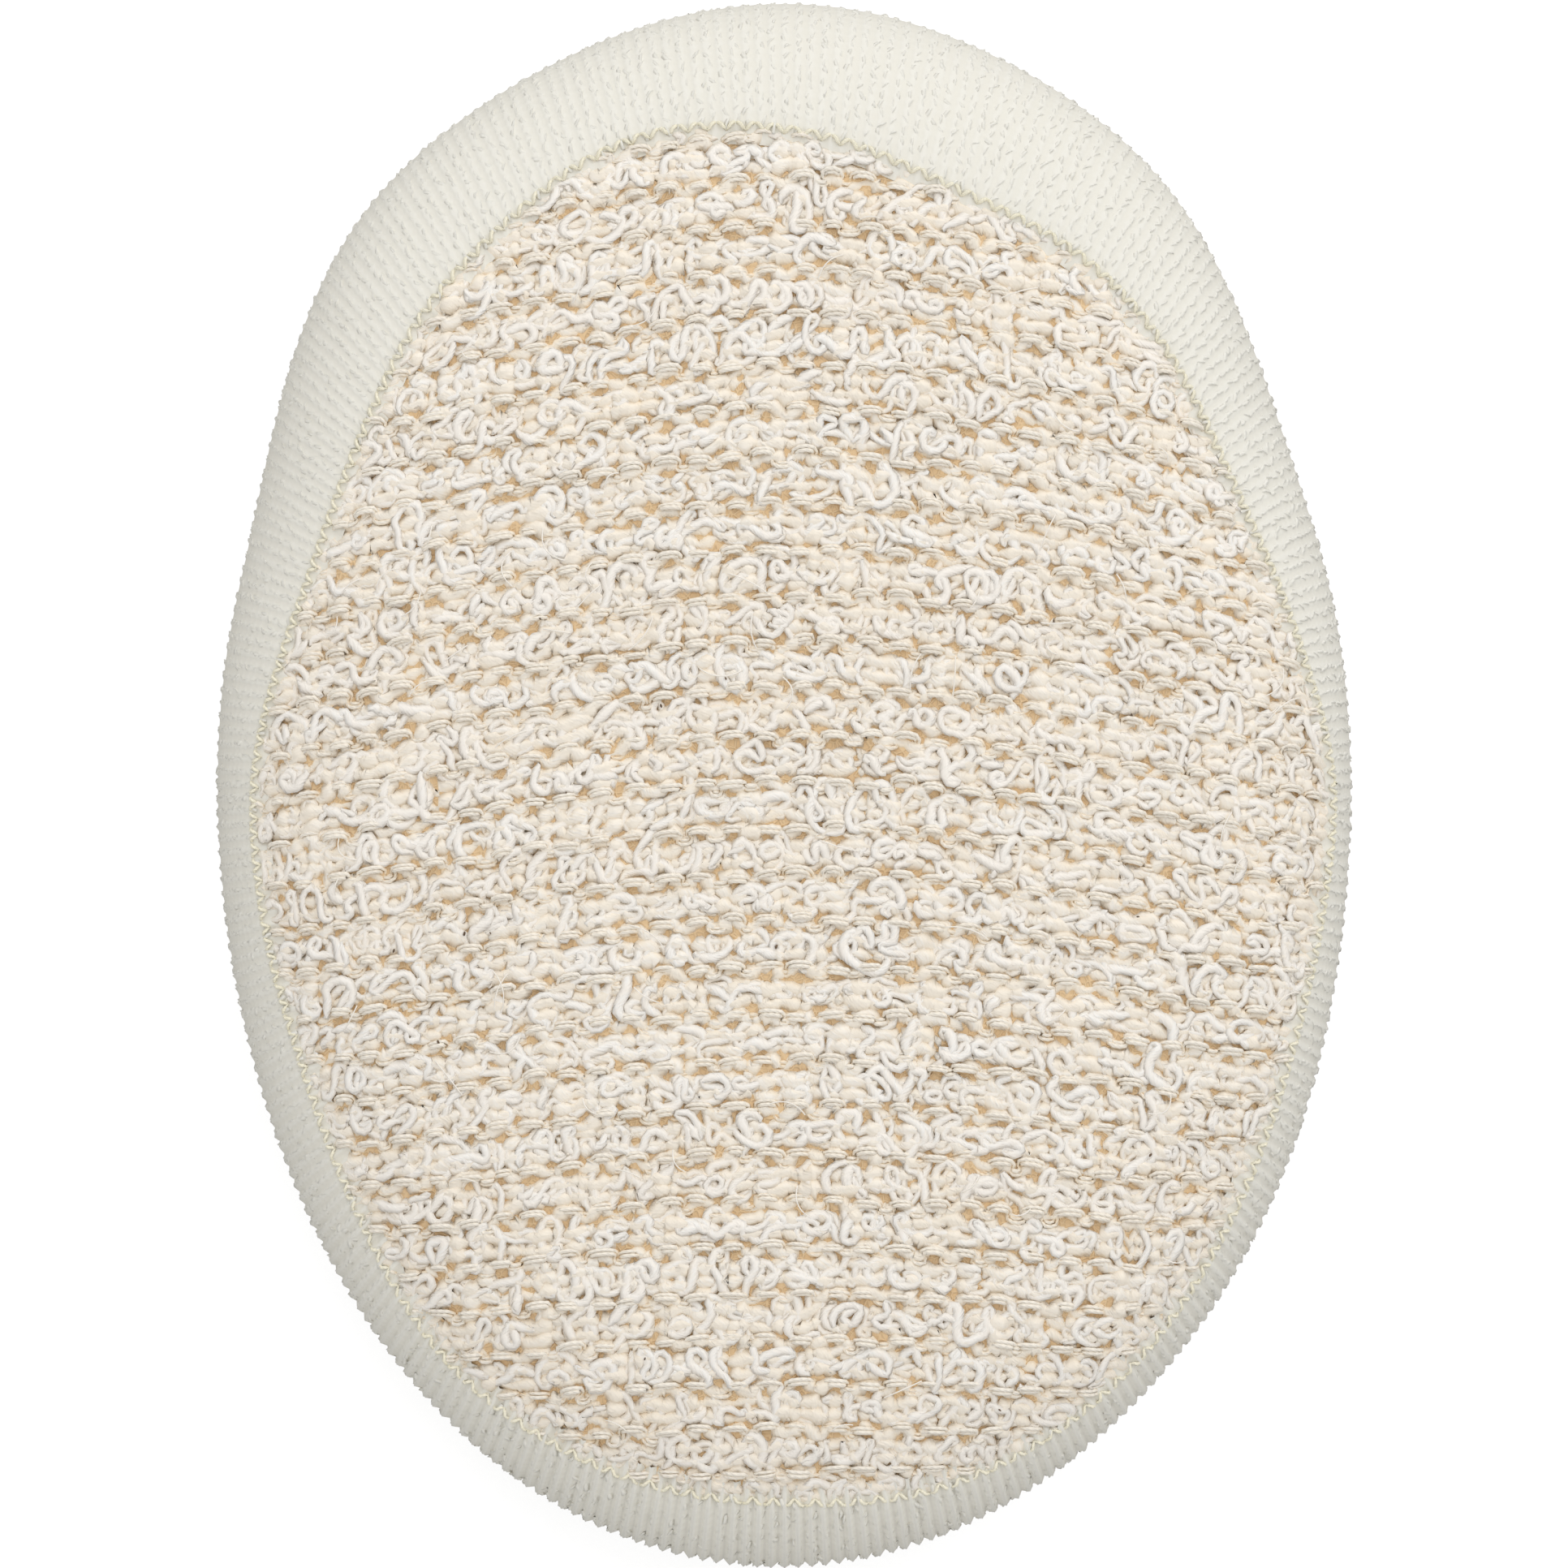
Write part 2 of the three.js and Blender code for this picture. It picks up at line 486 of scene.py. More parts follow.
class MeshBuilder:
    """Collects grids and yarns in millimetres and turns them into one object.

    Each vertex has a tone, which is one random value per yarn, and a depth, from 0 at the foot of the
    cloth to 1 at its top, which places the painted shade. The map called yarn runs round a yarn and, in
    millimetres, along it.
    """

    def __init__(self, side_shade: float = 0.0, flat: float = 1.0, rough: float = 0.0) -> None:
        """Starts with nothing collected.

        Args:
            side_shade: How much deeper a yarn's side counts than its top, which paints shade on its sides
                and underside.
            flat: Height of a yarn against its width.
            rough: How unevenly a yarn's section is drawn, as a share of its radius.
        """
        self.side_shade = side_shade
        self.flat = flat
        self.rough = rough
        self.rng = np.random.default_rng(SEED + 9)
        self.points: list[Array] = []
        self.quads: list[Array] = []
        self.maps: list[Array] = []
        self.tones: list[Array] = []
        self.depths: list[Array] = []
        self.count = 0

    def add(self, points: Array, quads: Array, uv: Array, tone: Array, depth: Array) -> None:
        """Adds vertices and the quads between them.

        Args:
            points: Vertices, in millimetres.
            quads: Four vertex numbers a row.
            uv: One place per corner of each quad.
            tone: One value per vertex.
            depth: One value per vertex.
        """
        self.points.append(points)
        self.quads.append(quads + self.count)
        self.maps.append(uv)
        self.tones.append(tone)
        self.depths.append(depth)
        self.count += len(points)

    def add_yarns(self, paths: Array, radii: Array, across: Array, sides: int,
                  tone: Array, depth: Array, phase: Array | None = None) -> None:
        """Adds tubes of yarn that all have the same number of points.

        Args:
            paths: Middle lines, by yarn and point.
            radii: Radii, by yarn and point.
            across: Directions that the yarn's section is laid out by, never along the path.
            sides: Sides of the section.
            tone: One value per yarn.
            depth: Depth by yarn and point.
            phase: How far each yarn's map starts along it, in millimetres.
        """
        yarns, length = paths.shape[:2]
        along = np.gradient(paths, axis=1)
        side = unit(np.cross(along, across))
        up = unit(np.cross(side, along))
        ring = TURN / 4.0 + np.arange(sides) * TURN / sides
        uneven = self.rng.uniform(-self.rough, self.rough, (yarns, length, sides))
        reach = (radii[..., None] * (1.0 + uneven))[..., None]
        points = paths[:, :, None] + reach * (
            np.cos(ring)[None, None, :, None] * side[:, :, None]
            + self.flat * np.sin(ring)[None, None, :, None] * up[:, :, None]
        )
        number = np.arange(yarns * length * sides).reshape(yarns, length, sides)
        run = np.cumsum(np.linalg.norm(np.diff(paths, axis=1, prepend=paths[:, :1]), axis=2), axis=1)
        if phase is not None:
            run = run + phase[:, None]
        u = np.arange(sides + 1) / sides
        along = (run[:, :-1, None], run[:, 1:, None])
        quads, uv = self.strips(number, np.roll(number, -1, axis=2), (u[:-1], u[1:]), along)
        tones = np.repeat(tone, length * sides)
        # Painted shade: a yarn's side and underside count deeper than its top.
        depths = (depth[..., None] + self.side_shade * np.sin(ring)).ravel()
        self.add(points.reshape(-1, 3), quads, uv, tones, depths)

    def add_yarn(self, path: Array, radius: Array, across: Array, sides: int,
                 tone: Array, depth: Array) -> None:
        """Adds one tube of yarn.

        Args:
            path: Its middle line.
            radius: Radii along it.
            across: Directions that its section is laid out by.
            sides: Sides of the section.
            tone: One value.
            depth: Depths along it.
        """
        self.add_yarns(path[None], radius[None], across[None], sides, tone, depth[None])

    @classmethod
    def grid(cls, points: Array, closed: bool = False) -> "MeshBuilder":
        """A builder with one grid of points by angle and row in it.

        Args:
            points: Points by angle and row.
            closed: Whether the first and the last row are single points that close the surface.

        Returns:
            The builder.
        """
        angles, rows = points.shape[:2]
        number = np.arange(angles * rows).reshape(angles, rows)
        if closed:
            number[:, 0], number[:, -1] = number[0, 0], number[0, -1]
        u = np.arange(angles + 1)[:, None] / angles
        v = np.arange(rows) / (rows - 1)
        quads, uv = cls.strips(number, np.roll(number, -1, axis=0), (u[:-1], u[1:]), (v[:-1], v[1:]))
        builder = cls()
        plain = np.zeros(angles * rows)
        builder.add(points.reshape(-1, 3), quads, uv, plain, plain)
        return builder

    @staticmethod
    def strips(number: Array, ahead: Array, u: tuple[Array, Array],
               v: tuple[Array, Array]) -> tuple[Array, Array]:
        """Joins vertices in rows, the second axis, to those beside them.

        Args:
            number: Vertex numbers.
            ahead: Numbers of the vertices beside them.
            u: The map's first value at the vertices and beside them.
            v: The map's second value at the start and at the end of each step along the rows.

        Returns:
            Quads, and one place on the map per corner of each.
        """
        quads = np.stack([number[:, :-1], number[:, 1:], ahead[:, 1:], ahead[:, :-1]], axis=-1)
        uv = np.empty(quads.shape + (2,))
        for corner, (beside, end) in enumerate(((0, 0), (0, 1), (1, 1), (1, 0))):
            uv[..., corner, 0] = u[beside]
            uv[..., corner, 1] = v[end]
        return quads.reshape(-1, 4), uv.reshape(-1, 2)

    def make(self, name: str) -> Piece:
        """Makes the object, smooth shaded, with nothing in it that no face uses.

        Args:
            name: Its name.

        Returns:
            The object.
        """
        points = np.concatenate(self.points) * MM
        quads = np.concatenate(self.quads)
        kept = np.stack([
            np.ones(len(quads), bool), np.ones(len(quads), bool),
            quads[:, 2] != quads[:, 1], quads[:, 3] != quads[:, 0],
        ], axis=1)
        ends = np.cumsum(kept.sum(axis=1))
        starts = np.concatenate([[0], ends[:-1]]).astype(np.int32)
        used, corners = np.unique(quads[kept], return_inverse=True)
        mesh = bpy.data.meshes.new(name)
        mesh.vertices.add(len(used))
        mesh.vertices.foreach_set("co", points[used].astype(np.float32).ravel())
        mesh.loops.add(len(corners))
        mesh.loops.foreach_set("vertex_index", corners.astype(np.int32).ravel())
        mesh.polygons.add(len(quads))
        mesh.polygons.foreach_set("loop_start", starts)
        mesh.update(calc_edges=True)
        layer = mesh.uv_layers.new(name="yarn")
        places = np.concatenate(self.maps)[kept.ravel()]
        layer.uv.foreach_set("vector", places.astype(np.float32).ravel())
        for label, values in (("tone", self.tones), ("depth", self.depths)):
            held = mesh.attributes.new(label, "FLOAT", "POINT")
            held.data.foreach_set("value", np.concatenate(values)[used].astype(np.float32))
        mesh.validate()
        mesh.shade_smooth()
        made = bpy.data.objects.new(name, mesh)
        bpy.context.scene.collection.objects.link(made)
        return made


def dress(piece: Piece, material: Material, node: str) -> None:
    """Gives a piece its material and its body, and hides the frame's node that it stands for.

    Args:
        piece: The piece.
        material: Its finish.
        node: The frame's node that the piece replaces.
    """
    piece.data.materials.append(material)
    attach(piece, BODY)
    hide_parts(node)


# ---- Finishes ----


class NodeDesk:
    """Places nodes in the tree of a material or a group and joins them."""

    def __init__(self, tree: bpy.types.NodeTree) -> None:
        """Keeps the tree."""
        self.tree = tree

    def add(self, kind: str, **settings: object) -> bpy.types.Node:
        """Adds a node.

        Args:
            kind: Its type.
            settings: Values of its properties.

        Returns:
            The node.
        """
        node = self.tree.nodes.new(kind)
        for name, value in settings.items():
            setattr(node, name, value)
        return node

    def join(self, source: Socket, target: Socket) -> None:
        """Links two sockets."""
        self.tree.links.new(source, target)

    def feed(self, target: Socket, value: Feed) -> None:
        """Links a socket or sets a plain value.

        Args:
            target: The socket that is fed.
            value: A socket, a number or a colour.
        """
        if isinstance(value, Socket):
            self.join(value, target)
        else:
            target.default_value = (*value, 1.0) if isinstance(value, tuple) else value

    def maths(self, operation: str, *terms: Feed) -> Socket:
        """Does a sum.

        Args:
            operation: Which sum.
            terms: Its terms, each a number or a socket.

        Returns:
            The result.
        """
        node = self.add("ShaderNodeMath", operation=operation)
        for socket, term in zip(node.inputs, terms):
            self.feed(socket, term)
        return node.outputs[0]

    def blend(self, share: Feed, first: Feed, second: Feed) -> Socket:
        """Mixes two colours.

        Args:
            share: Share of the second colour.
            first: The first colour.
            second: The second colour.

        Returns:
            The mix.
        """
        node = self.add("ShaderNodeMix", data_type="RGBA")
        self.feed(node.inputs["Factor"], share)
        self.feed(node.inputs[6], first)
        self.feed(node.inputs[7], second)
        return node.outputs[2]

    def spread(self, value: Feed, low: float, high: float) -> Socket:
        """Brings a number to 0 to 1, smoothly.

        Args:
            value: The number.
            low: What becomes 0.
            high: What becomes 1.

        Returns:
            The result.
        """
        node = self.add("ShaderNodeMapRange", interpolation_type="SMOOTHSTEP")
        self.feed(node.inputs["Value"], value)
        self.feed(node.inputs["From Min"], low)
        self.feed(node.inputs["From Max"], high)
        return node.outputs["Result"]

    def noise(self, place: Socket, scale: Feed, detail: float = 2.0) -> Socket:
        """Adds a noise texture.

        Args:
            place: Where it is read.
            scale: Its scale.
            detail: Its detail.

        Returns:
            Values of 0 to 1.
        """
        node = self.add("ShaderNodeTexNoise")
        self.feed(node.inputs["Vector"], place)
        self.feed(node.inputs["Scale"], scale)
        self.feed(node.inputs["Detail"], detail)
        return node.outputs["Fac"]


class MaterialDesk(NodeDesk):
    """A node desk on a new material and its shader."""

    def __init__(self, name: str, specular: float) -> None:
        """Starts a material.

        Args:
            name: Its name.
            specular: Strength of its reflections.
        """
        self.material = bpy.data.materials.new(name)
        self.material.use_nodes = True
        super().__init__(self.material.node_tree)
        self.inputs = self.tree.nodes["Principled BSDF"].inputs
        self.inputs["Specular IOR Level"].default_value = specular

    def raise_by(self, height: Socket, relief: float) -> None:
        """Bumps the surface.

        Args:
            height: Height of 0 to about 1 over the surface.
            relief: What a height of 1 stands for, in millimetres.
        """
        bump = self.add("ShaderNodeBump")
        self.feed(bump.inputs["Strength"], 1.0)
        self.feed(bump.inputs["Distance"], relief * MM)
        self.feed(bump.inputs["Height"], height)
        self.feed(self.inputs["Normal"], bump.outputs["Normal"])


def new_group(name: str, inputs: dict[str, float], outputs: Sequence[str]) -> bpy.types.NodeTree:
    """Makes a shader node group with named number sockets.

    Args:
        name: The group's name.
        inputs: Default of each input.
        outputs: Names of the outputs.

    Returns:
        The group, with its input and output nodes in it.
    """
    group = bpy.data.node_groups.new(name, "ShaderNodeTree")
    for label, value in inputs.items():
        socket = group.interface.new_socket(name=label, in_out="INPUT", socket_type="NodeSocketFloat")
        socket.default_value = value
    for label in outputs:
        group.interface.new_socket(name=label, in_out="OUTPUT", socket_type="NodeSocketFloat")
    group.nodes.new("NodeGroupInput")
    group.nodes.new("NodeGroupOutput")
    return group


def spun_fibre_group() -> bpy.types.NodeTree:
    """The surface of spun yarn: plies that wind round it, and the fibres in them.

    Returns:
        A group whose inputs are Plies, Twist (turns per mm), Fuzz and Strands (how fine the fibres are),
        and whose outputs are Height, Ply (0 in the groove between plies, 1 on top of one) and Fibre.
    """
    name = "spun_fibre"
    if name in bpy.data.node_groups:
        return bpy.data.node_groups[name]
    inputs = {"Plies": 2.0, "Twist": 0.3, "Fuzz": 0.5, "Strands": 2.0}
    group = new_group(name, inputs, ("Height", "Ply", "Fibre"))
    desk = NodeDesk(group)
    given, result = group.nodes["Group Input"], group.nodes["Group Output"]
    place = desk.add("ShaderNodeUVMap", uv_map="yarn")
    split = desk.add("ShaderNodeSeparateXYZ")
    desk.join(place.outputs["UV"], split.inputs[0])
    around, along = split.outputs["X"], split.outputs["Y"]
    wound = desk.maths("MULTIPLY", along, given.outputs["Twist"])
    turned = desk.maths("ADD", around, wound)
    angle = desk.maths("MULTIPLY", turned, TURN)
    wave = desk.maths("SINE", desk.maths("MULTIPLY", angle, given.outputs["Plies"]))
    ply = desk.maths("MULTIPLY_ADD", wave, 0.5, 0.5)
    line = desk.add("ShaderNodeCombineXYZ")
    desk.join(desk.maths("COSINE", angle), line.inputs["X"])
    desk.join(desk.maths("SINE", angle), line.inputs["Y"])
    desk.join(desk.maths("MULTIPLY", along, 0.45), line.inputs["Z"])
    fibre = desk.noise(line.outputs[0], given.outputs["Strands"], 3.0)
    fuzz = desk.maths("MULTIPLY", fibre, given.outputs["Fuzz"])
    desk.join(desk.maths("ADD", ply, fuzz), result.inputs["Height"])
    desk.join(ply, result.inputs["Ply"])
    desk.join(fibre, result.inputs["Fibre"])
    return group


def tone_and_shade_group() -> bpy.types.NodeTree:
    """Slow changes of tone over a cloth, and the depth in the cloth that places the painted shade.

    Returns:
        A group whose inputs are Patch (size of the patches in mm) and Streak (how much each yarn's own
        tone counts), and whose outputs are Tone and Depth, the mask for the painted shade.
    """
    name = "cloth_tone"
    if name in bpy.data.node_groups:
        return bpy.data.node_groups[name]
    group = new_group(name, {"Patch": 14.0, "Streak": 0.5}, ("Tone", "Depth"))
    desk = NodeDesk(group)
    given, result = group.nodes["Group Input"], group.nodes["Group Output"]
    place = desk.add("ShaderNodeTexCoord").outputs["Object"]
    patches = desk.noise(place, desk.maths("DIVIDE", 1.0 / MM, given.outputs["Patch"]))
    own = desk.add("ShaderNodeAttribute", attribute_name="tone").outputs["Fac"]
    streak = desk.maths("MULTIPLY", desk.maths("SUBTRACT", own, 0.5), given.outputs["Streak"])
    desk.join(desk.maths("ADD", patches, streak), result.inputs["Tone"])
    depth = desk.add("ShaderNodeAttribute", attribute_name="depth").outputs["Fac"]
    desk.join(depth, result.inputs["Depth"])
    return group


@dataclass(frozen=True)
class YarnFinish:
    """Cotton yarn.

    Args:
        name: Name of the material.
        light: Colour of the paler yarn.
        dark: Colour of the darker yarn.
        painted_shade: Colour of the painted shade down in the cloth and on the yarns' sides and undersides.
        plies: Plies round the yarn.
        twist: Turns of the plies per mm.
        fuzz: How rough the fibres are.
        strands: How fine the fibres are.
        relief: Height of the plies and fibres, in mm.
        sheen: Weight of the soft edge sheen.
        patch: Size of the patches of tone, in mm.
        painted_shade_from: Depth below which the painted shade colour comes in.
    """

    name: str
    light: Colour
    dark: Colour
    painted_shade: Colour
    plies: float = 2.0
    twist: float = 0.3
    fuzz: float = 0.6
    strands: float = 2.2
    relief: float = 0.08
    sheen: float = 0.0
    patch: float = 14.0
    painted_shade_from: float = 0.6

    def make(self) -> Material:
        """Builds the finish.

        Returns:
            The material.
        """
        desk = MaterialDesk(self.name, specular=0.1)
        spun = desk.add("ShaderNodeGroup", node_tree=spun_fibre_group())
        values = {"Plies": self.plies, "Twist": self.twist, "Fuzz": self.fuzz, "Strands": self.strands}
        for label, value in values.items():
            desk.feed(spun.inputs[label], value)
        cloth = desk.add("ShaderNodeGroup", node_tree=tone_and_shade_group())
        desk.feed(cloth.inputs["Patch"], self.patch)
        tone = desk.spread(cloth.outputs["Tone"], 0.2, 0.8)
        body = desk.blend(tone, self.dark, self.light)
        # Painted shade in the groove between the plies.
        groove_shaded = desk.blend(desk.spread(spun.outputs["Ply"], 0.45, 0.0), body, self.dark)
        streaked = desk.blend(desk.spread(spun.outputs["Fibre"], 0.62, 0.3), groove_shaded, self.dark)
        # Painted shade: where the depth is low, down in the cloth and on a yarn's sides and underside, the
        # colour turns to the painted shade colour.
        shaded = desk.blend(desk.spread(cloth.outputs["Depth"], self.painted_shade_from, 0.0), streaked, self.painted_shade)
        desk.feed(desk.inputs["Base Color"], shaded)
        desk.feed(desk.inputs["Roughness"], desk.maths("MULTIPLY_ADD", spun.outputs["Fibre"], 0.15, 0.8))
        desk.raise_by(spun.outputs["Height"], self.relief)
        desk.feed(desk.inputs["Sheen Weight"], self.sheen)
        desk.feed(desk.inputs["Sheen Roughness"], 0.6)
        return desk.material


@dataclass(frozen=True)
class FoamFinish:
    """Open-cell foam.

    Args:
        light: Colour of the cell walls.
        dark: Colour inside the cells, painted shade in the cell hollows; the random patches also lean
            towards it.
        cell: Size of a cell, in mm.
        patch: Size of the patches of tone, in mm.
        relief: Height of the cell walls, in mm.
    """

    light: Colour
    dark: Colour
    cell: float = 0.7
    patch: float = 9.0
    relief: float = 0.1

    def make(self) -> Material:
        """Builds the finish.

        Returns:
            The material.
        """
        desk = MaterialDesk("foam", specular=0.2)
        place = desk.add("ShaderNodeTexCoord").outputs["Object"]
        cells = desk.add("ShaderNodeTexVoronoi", feature="DISTANCE_TO_EDGE")
        desk.feed(cells.inputs["Vector"], place)
        desk.feed(cells.inputs["Scale"], 1.0 / (self.cell * MM))
        wall = desk.spread(cells.outputs["Distance"], 0.25, 0.02)
        patch = desk.noise(place, 1.0 / (self.patch * MM))
        # Painted shade inside the cells, mixed with darker random patches.
        colour = desk.blend(desk.maths("MULTIPLY", wall, patch), self.dark, self.light)
        desk.feed(desk.inputs["Base Color"], colour)
        desk.feed(desk.inputs["Roughness"], desk.maths("MULTIPLY_ADD", wall, 0.1, 0.85))
        desk.raise_by(wall, self.relief)
        return desk.material


@dataclass(frozen=True)
class TerryGroundFinish:
    """The knitted ground that the terry loops stand on.

    Args:
        light: Colour on a wale.
        dark: Colour between the wales, painted shade in the grooves of the knitting.
        wales: Wales round the cloth.
        courses: Courses along the cloth.
        relief: Height of the wales, in mm.
    """

    light: Colour
    dark: Colour
    wales: int
    courses: int
    relief: float = 0.06

    def make(self) -> Material:
        """Builds the finish.

        Returns:
            The material.
        """
        desk = MaterialDesk("terry_ground", specular=0.15)
        place = desk.add("ShaderNodeUVMap", uv_map="yarn").outputs["UV"]
        split = desk.add("ShaderNodeSeparateXYZ")
        desk.join(place, split.inputs[0])
        wale = desk.maths("COSINE", desk.maths("MULTIPLY", split.outputs["X"], TURN * self.wales))
        course = desk.maths("COSINE", desk.maths("MULTIPLY", split.outputs["Y"], TURN * self.courses))
        stitch = desk.maths("MULTIPLY_ADD", course, 0.4, wale)
        raised = desk.spread(stitch, -1.2, 1.2)
        # Painted shade: the grooves between the raised stitches take the dark colour.
        desk.feed(desk.inputs["Base Color"], desk.blend(raised, self.dark, self.light))
        desk.raise_by(raised, self.relief)
        desk.feed(desk.inputs["Roughness"], 0.95)
        return desk.material


@dataclass(frozen=True)
class FloorFinish:
    """A plain white floor that shows almost no shadow.

    Args:
        colour: Its colour.
        glow: How white it looks to the camera on top of its lit colour.
    """

    colour: Colour = (0.5, 0.5, 0.5)
    glow: float = 0.7

    def make(self) -> Material:
        """Builds the finish.

        Returns:
            The material.
        """
        desk = MaterialDesk("floor", specular=0.0)
        desk.feed(desk.inputs["Base Color"], self.colour)
        desk.feed(desk.inputs["Roughness"], 0.9)
        desk.feed(desk.inputs["Emission Color"], (1.0, 1.0, 1.0))
        seen = desk.add("ShaderNodeLightPath").outputs["Is Camera Ray"]
        desk.feed(desk.inputs["Emission Strength"], desk.maths("MULTIPLY", seen, self.glow))
        return desk.material


# ---- Pieces ----


@dataclass
class FoamCore:
    """The foam pad, seen only through the holes of the face.

    Args:
        depth: How far the foam lies under the pad's outer surface.
        angle_step: Steps of the surface grid's angle from one of the foam's columns to the next.
        row_step: Rows of that grid from one of the foam's rows to the next.
        finish: Its finish.
    """

    depth: float = 1.15
    angle_step: int = 3
    row_step: int = 2
    finish: FoamFinish = FoamFinish(light=(0.88, 0.67, 0.42), dark=(0.76, 0.54, 0.31))

    def build(self, pad: StuffedPad, points: Array) -> list[Piece]:
        """Makes and dresses the foam.

        Args:
            pad: The stuffed pad.
            points: The pad's swollen surface by angle and row.

        Returns:
            The one piece.
        """
        sunk = points - self.depth * pad.grid_normals(points)
        coarse = sunk[:: self.angle_step, :: self.row_step]
        foam = MeshBuilder.grid(coarse, closed=True).make("foam_pad")
        dress(foam, self.finish.make(), "foam_core")
        return [foam]


@dataclass
class KnitFace:
    """The face: courses of smooth two-strand yarn and of curly boucle yarn by turns.

    Args:
        surface: The face's surface.
        wale: Width of a stitch.
        repeat: Height of one smooth and one boucle course together.
        tuck: How far the cloth runs on under the border.
        hem: Width of the edge that bends down to the seam, and how far it goes down.
        foot: How far the middle of the cloth lies under the pad's outer surface.
        arch_rise: How steeply the courses fall away to either side.
        arch_middle: Where across the face the courses are highest.
        arch_places: Two places along the face, where the courses' arches are measured.
        arch_bends: Half the width of an arch's round top at those places.
        half_cloth: Half the width and half the length of the cloth before it is cut to shape.
        hole_off: How far the holes lie above and below each smooth course.
        dive: How far the yarn goes under and over.
        lift: Height of the yarn's middle.
        points: Points of the yarn in a stitch.
        sides: Sides of the yarn.
        depths: Depth of the yarn's middle, and how much more of it the top of a rise has, which sets where
            shade is painted on the yarn.
        seed: Start of the random numbers.

    A Ripple is the size of a random change and the number of stitches from one change to the next.
    """

    surface: SurfaceMap
    wale: float = 3.5
    repeat: float = 4.87
    tuck: float = 0.7
    hem: float = 0.45
    foot: float = 0.9
    arch_rise: float = 0.2
    arch_middle: float = 2.0
    arch_places: tuple[float, float] = (-35.0, 45.0)
    arch_bends: tuple[float, float] = (40.0, 15.0)
    half_cloth: tuple[float, float] = (60.0, 100.0)
    hole_off: float = 0.52
    dive: float = 0.35
    lift: float = 0.0
    points: int = 12
    sides: int = 4
    depths: tuple[float, float] = (0.5, 0.25)
    seed: int = SEED

    def drop(self, across: Array, along: Array) -> Array:
        """How far a course has fallen at this distance from its highest point.

        Args:
            across: Place across the face.
            along: Place along the face.

        Returns:
            The fall, in millimetres. Courses near the wide border are bent sharply, the others gently.
        """
        bend = np.interp(along, self.arch_places, self.arch_bends)
        return self.arch_rise * (np.hypot(bend, across - self.arch_middle) - bend)

    def lay(self, p: Array, q: Array, height: Array) -> tuple[Array, Array, Array]:
        """Lays points of the flat cloth on the pad.

        Args:
            p: Places across the cloth.
            q: Places along the cloth.
            height: Heights over the middle of the cloth.

        Returns:
            The points, the normals and which of the points are inside the seam.
        """
        q = q - self.drop(p, q)
        angle, distance = np.arctan2(q, p), np.hypot(p, q)
        past = distance - self.surface.length(angle)
        dive = self.hem * np.clip((past + self.hem) / (self.hem + self.tuck), 0.0, 1.0)
        point, normal = self.surface.at(angle, distance)
        return point + (height - self.foot - dive)[..., None] * normal, normal, past < self.tuck

    def ripple(self, count: int, ripple: Ripple, rng: Random) -> Array:
        """A random change along a yarn with this number of points."""
        return ripple[0] * smooth_noise(count, ripple[1] * self.points, rng)

    def courses(self, path: Callable[[Array, float], tuple[Array, ...]],
                first: float) -> list[tuple[Array, ...]]:
        """Runs a yarn along every course, cut off at the seam.

        Args:
            path: Gives place across, place along, height and radius from the stitch count and the course.
            first: Where the course nearest the middle lies.

        Returns:
            For each course its points, normals, radii and heights.
        """
        least_stitches = 2
        across, along = self.half_cloth
        rows = int(along / self.repeat)
        stitches = np.arange(-across / self.wale, across / self.wale, 1.0 / self.points)
        runs = []
        for row in range(-rows, rows + 1):
            p, q, height, radius = path(stitches, first + row * self.repeat)
            point, normal, inside = self.lay(p, q, height)
            if inside.sum() < least_stitches * self.points:
                continue
            kept = np.flatnonzero(inside)
            run = slice(kept[0], kept[-1] + 1)
            runs.append((point[run], normal[run], slimmed(point[run], radius[run]), height[run]))
        return runs

    def spin(self, builder: MeshBuilder, runs: Sequence[tuple[Array, ...]], name: str,
             material: Material, rng: Random) -> Piece:
        """Makes and dresses a piece of yarn.

        Args:
            builder: A builder with nothing in it.
            runs: Points, normals, radii and heights of each course.
            name: Name of the piece.
            material: Its finish.
            rng: Source of random numbers.

        Returns:
            The piece.
        """
        middle, more = self.depths
        for point, normal, radius, height in runs:
            # Painted shade: lower parts of the yarn get less depth, so more of the painted shade colour.
            depth = middle + more * (height - self.lift) / self.dive
            builder.add_yarn(point, radius, normal, self.sides, rng.uniform(0.0, 1.0, 1), depth)
        yarn = builder.make(name)
        dress(yarn, material, "face_panel")
        return yarn


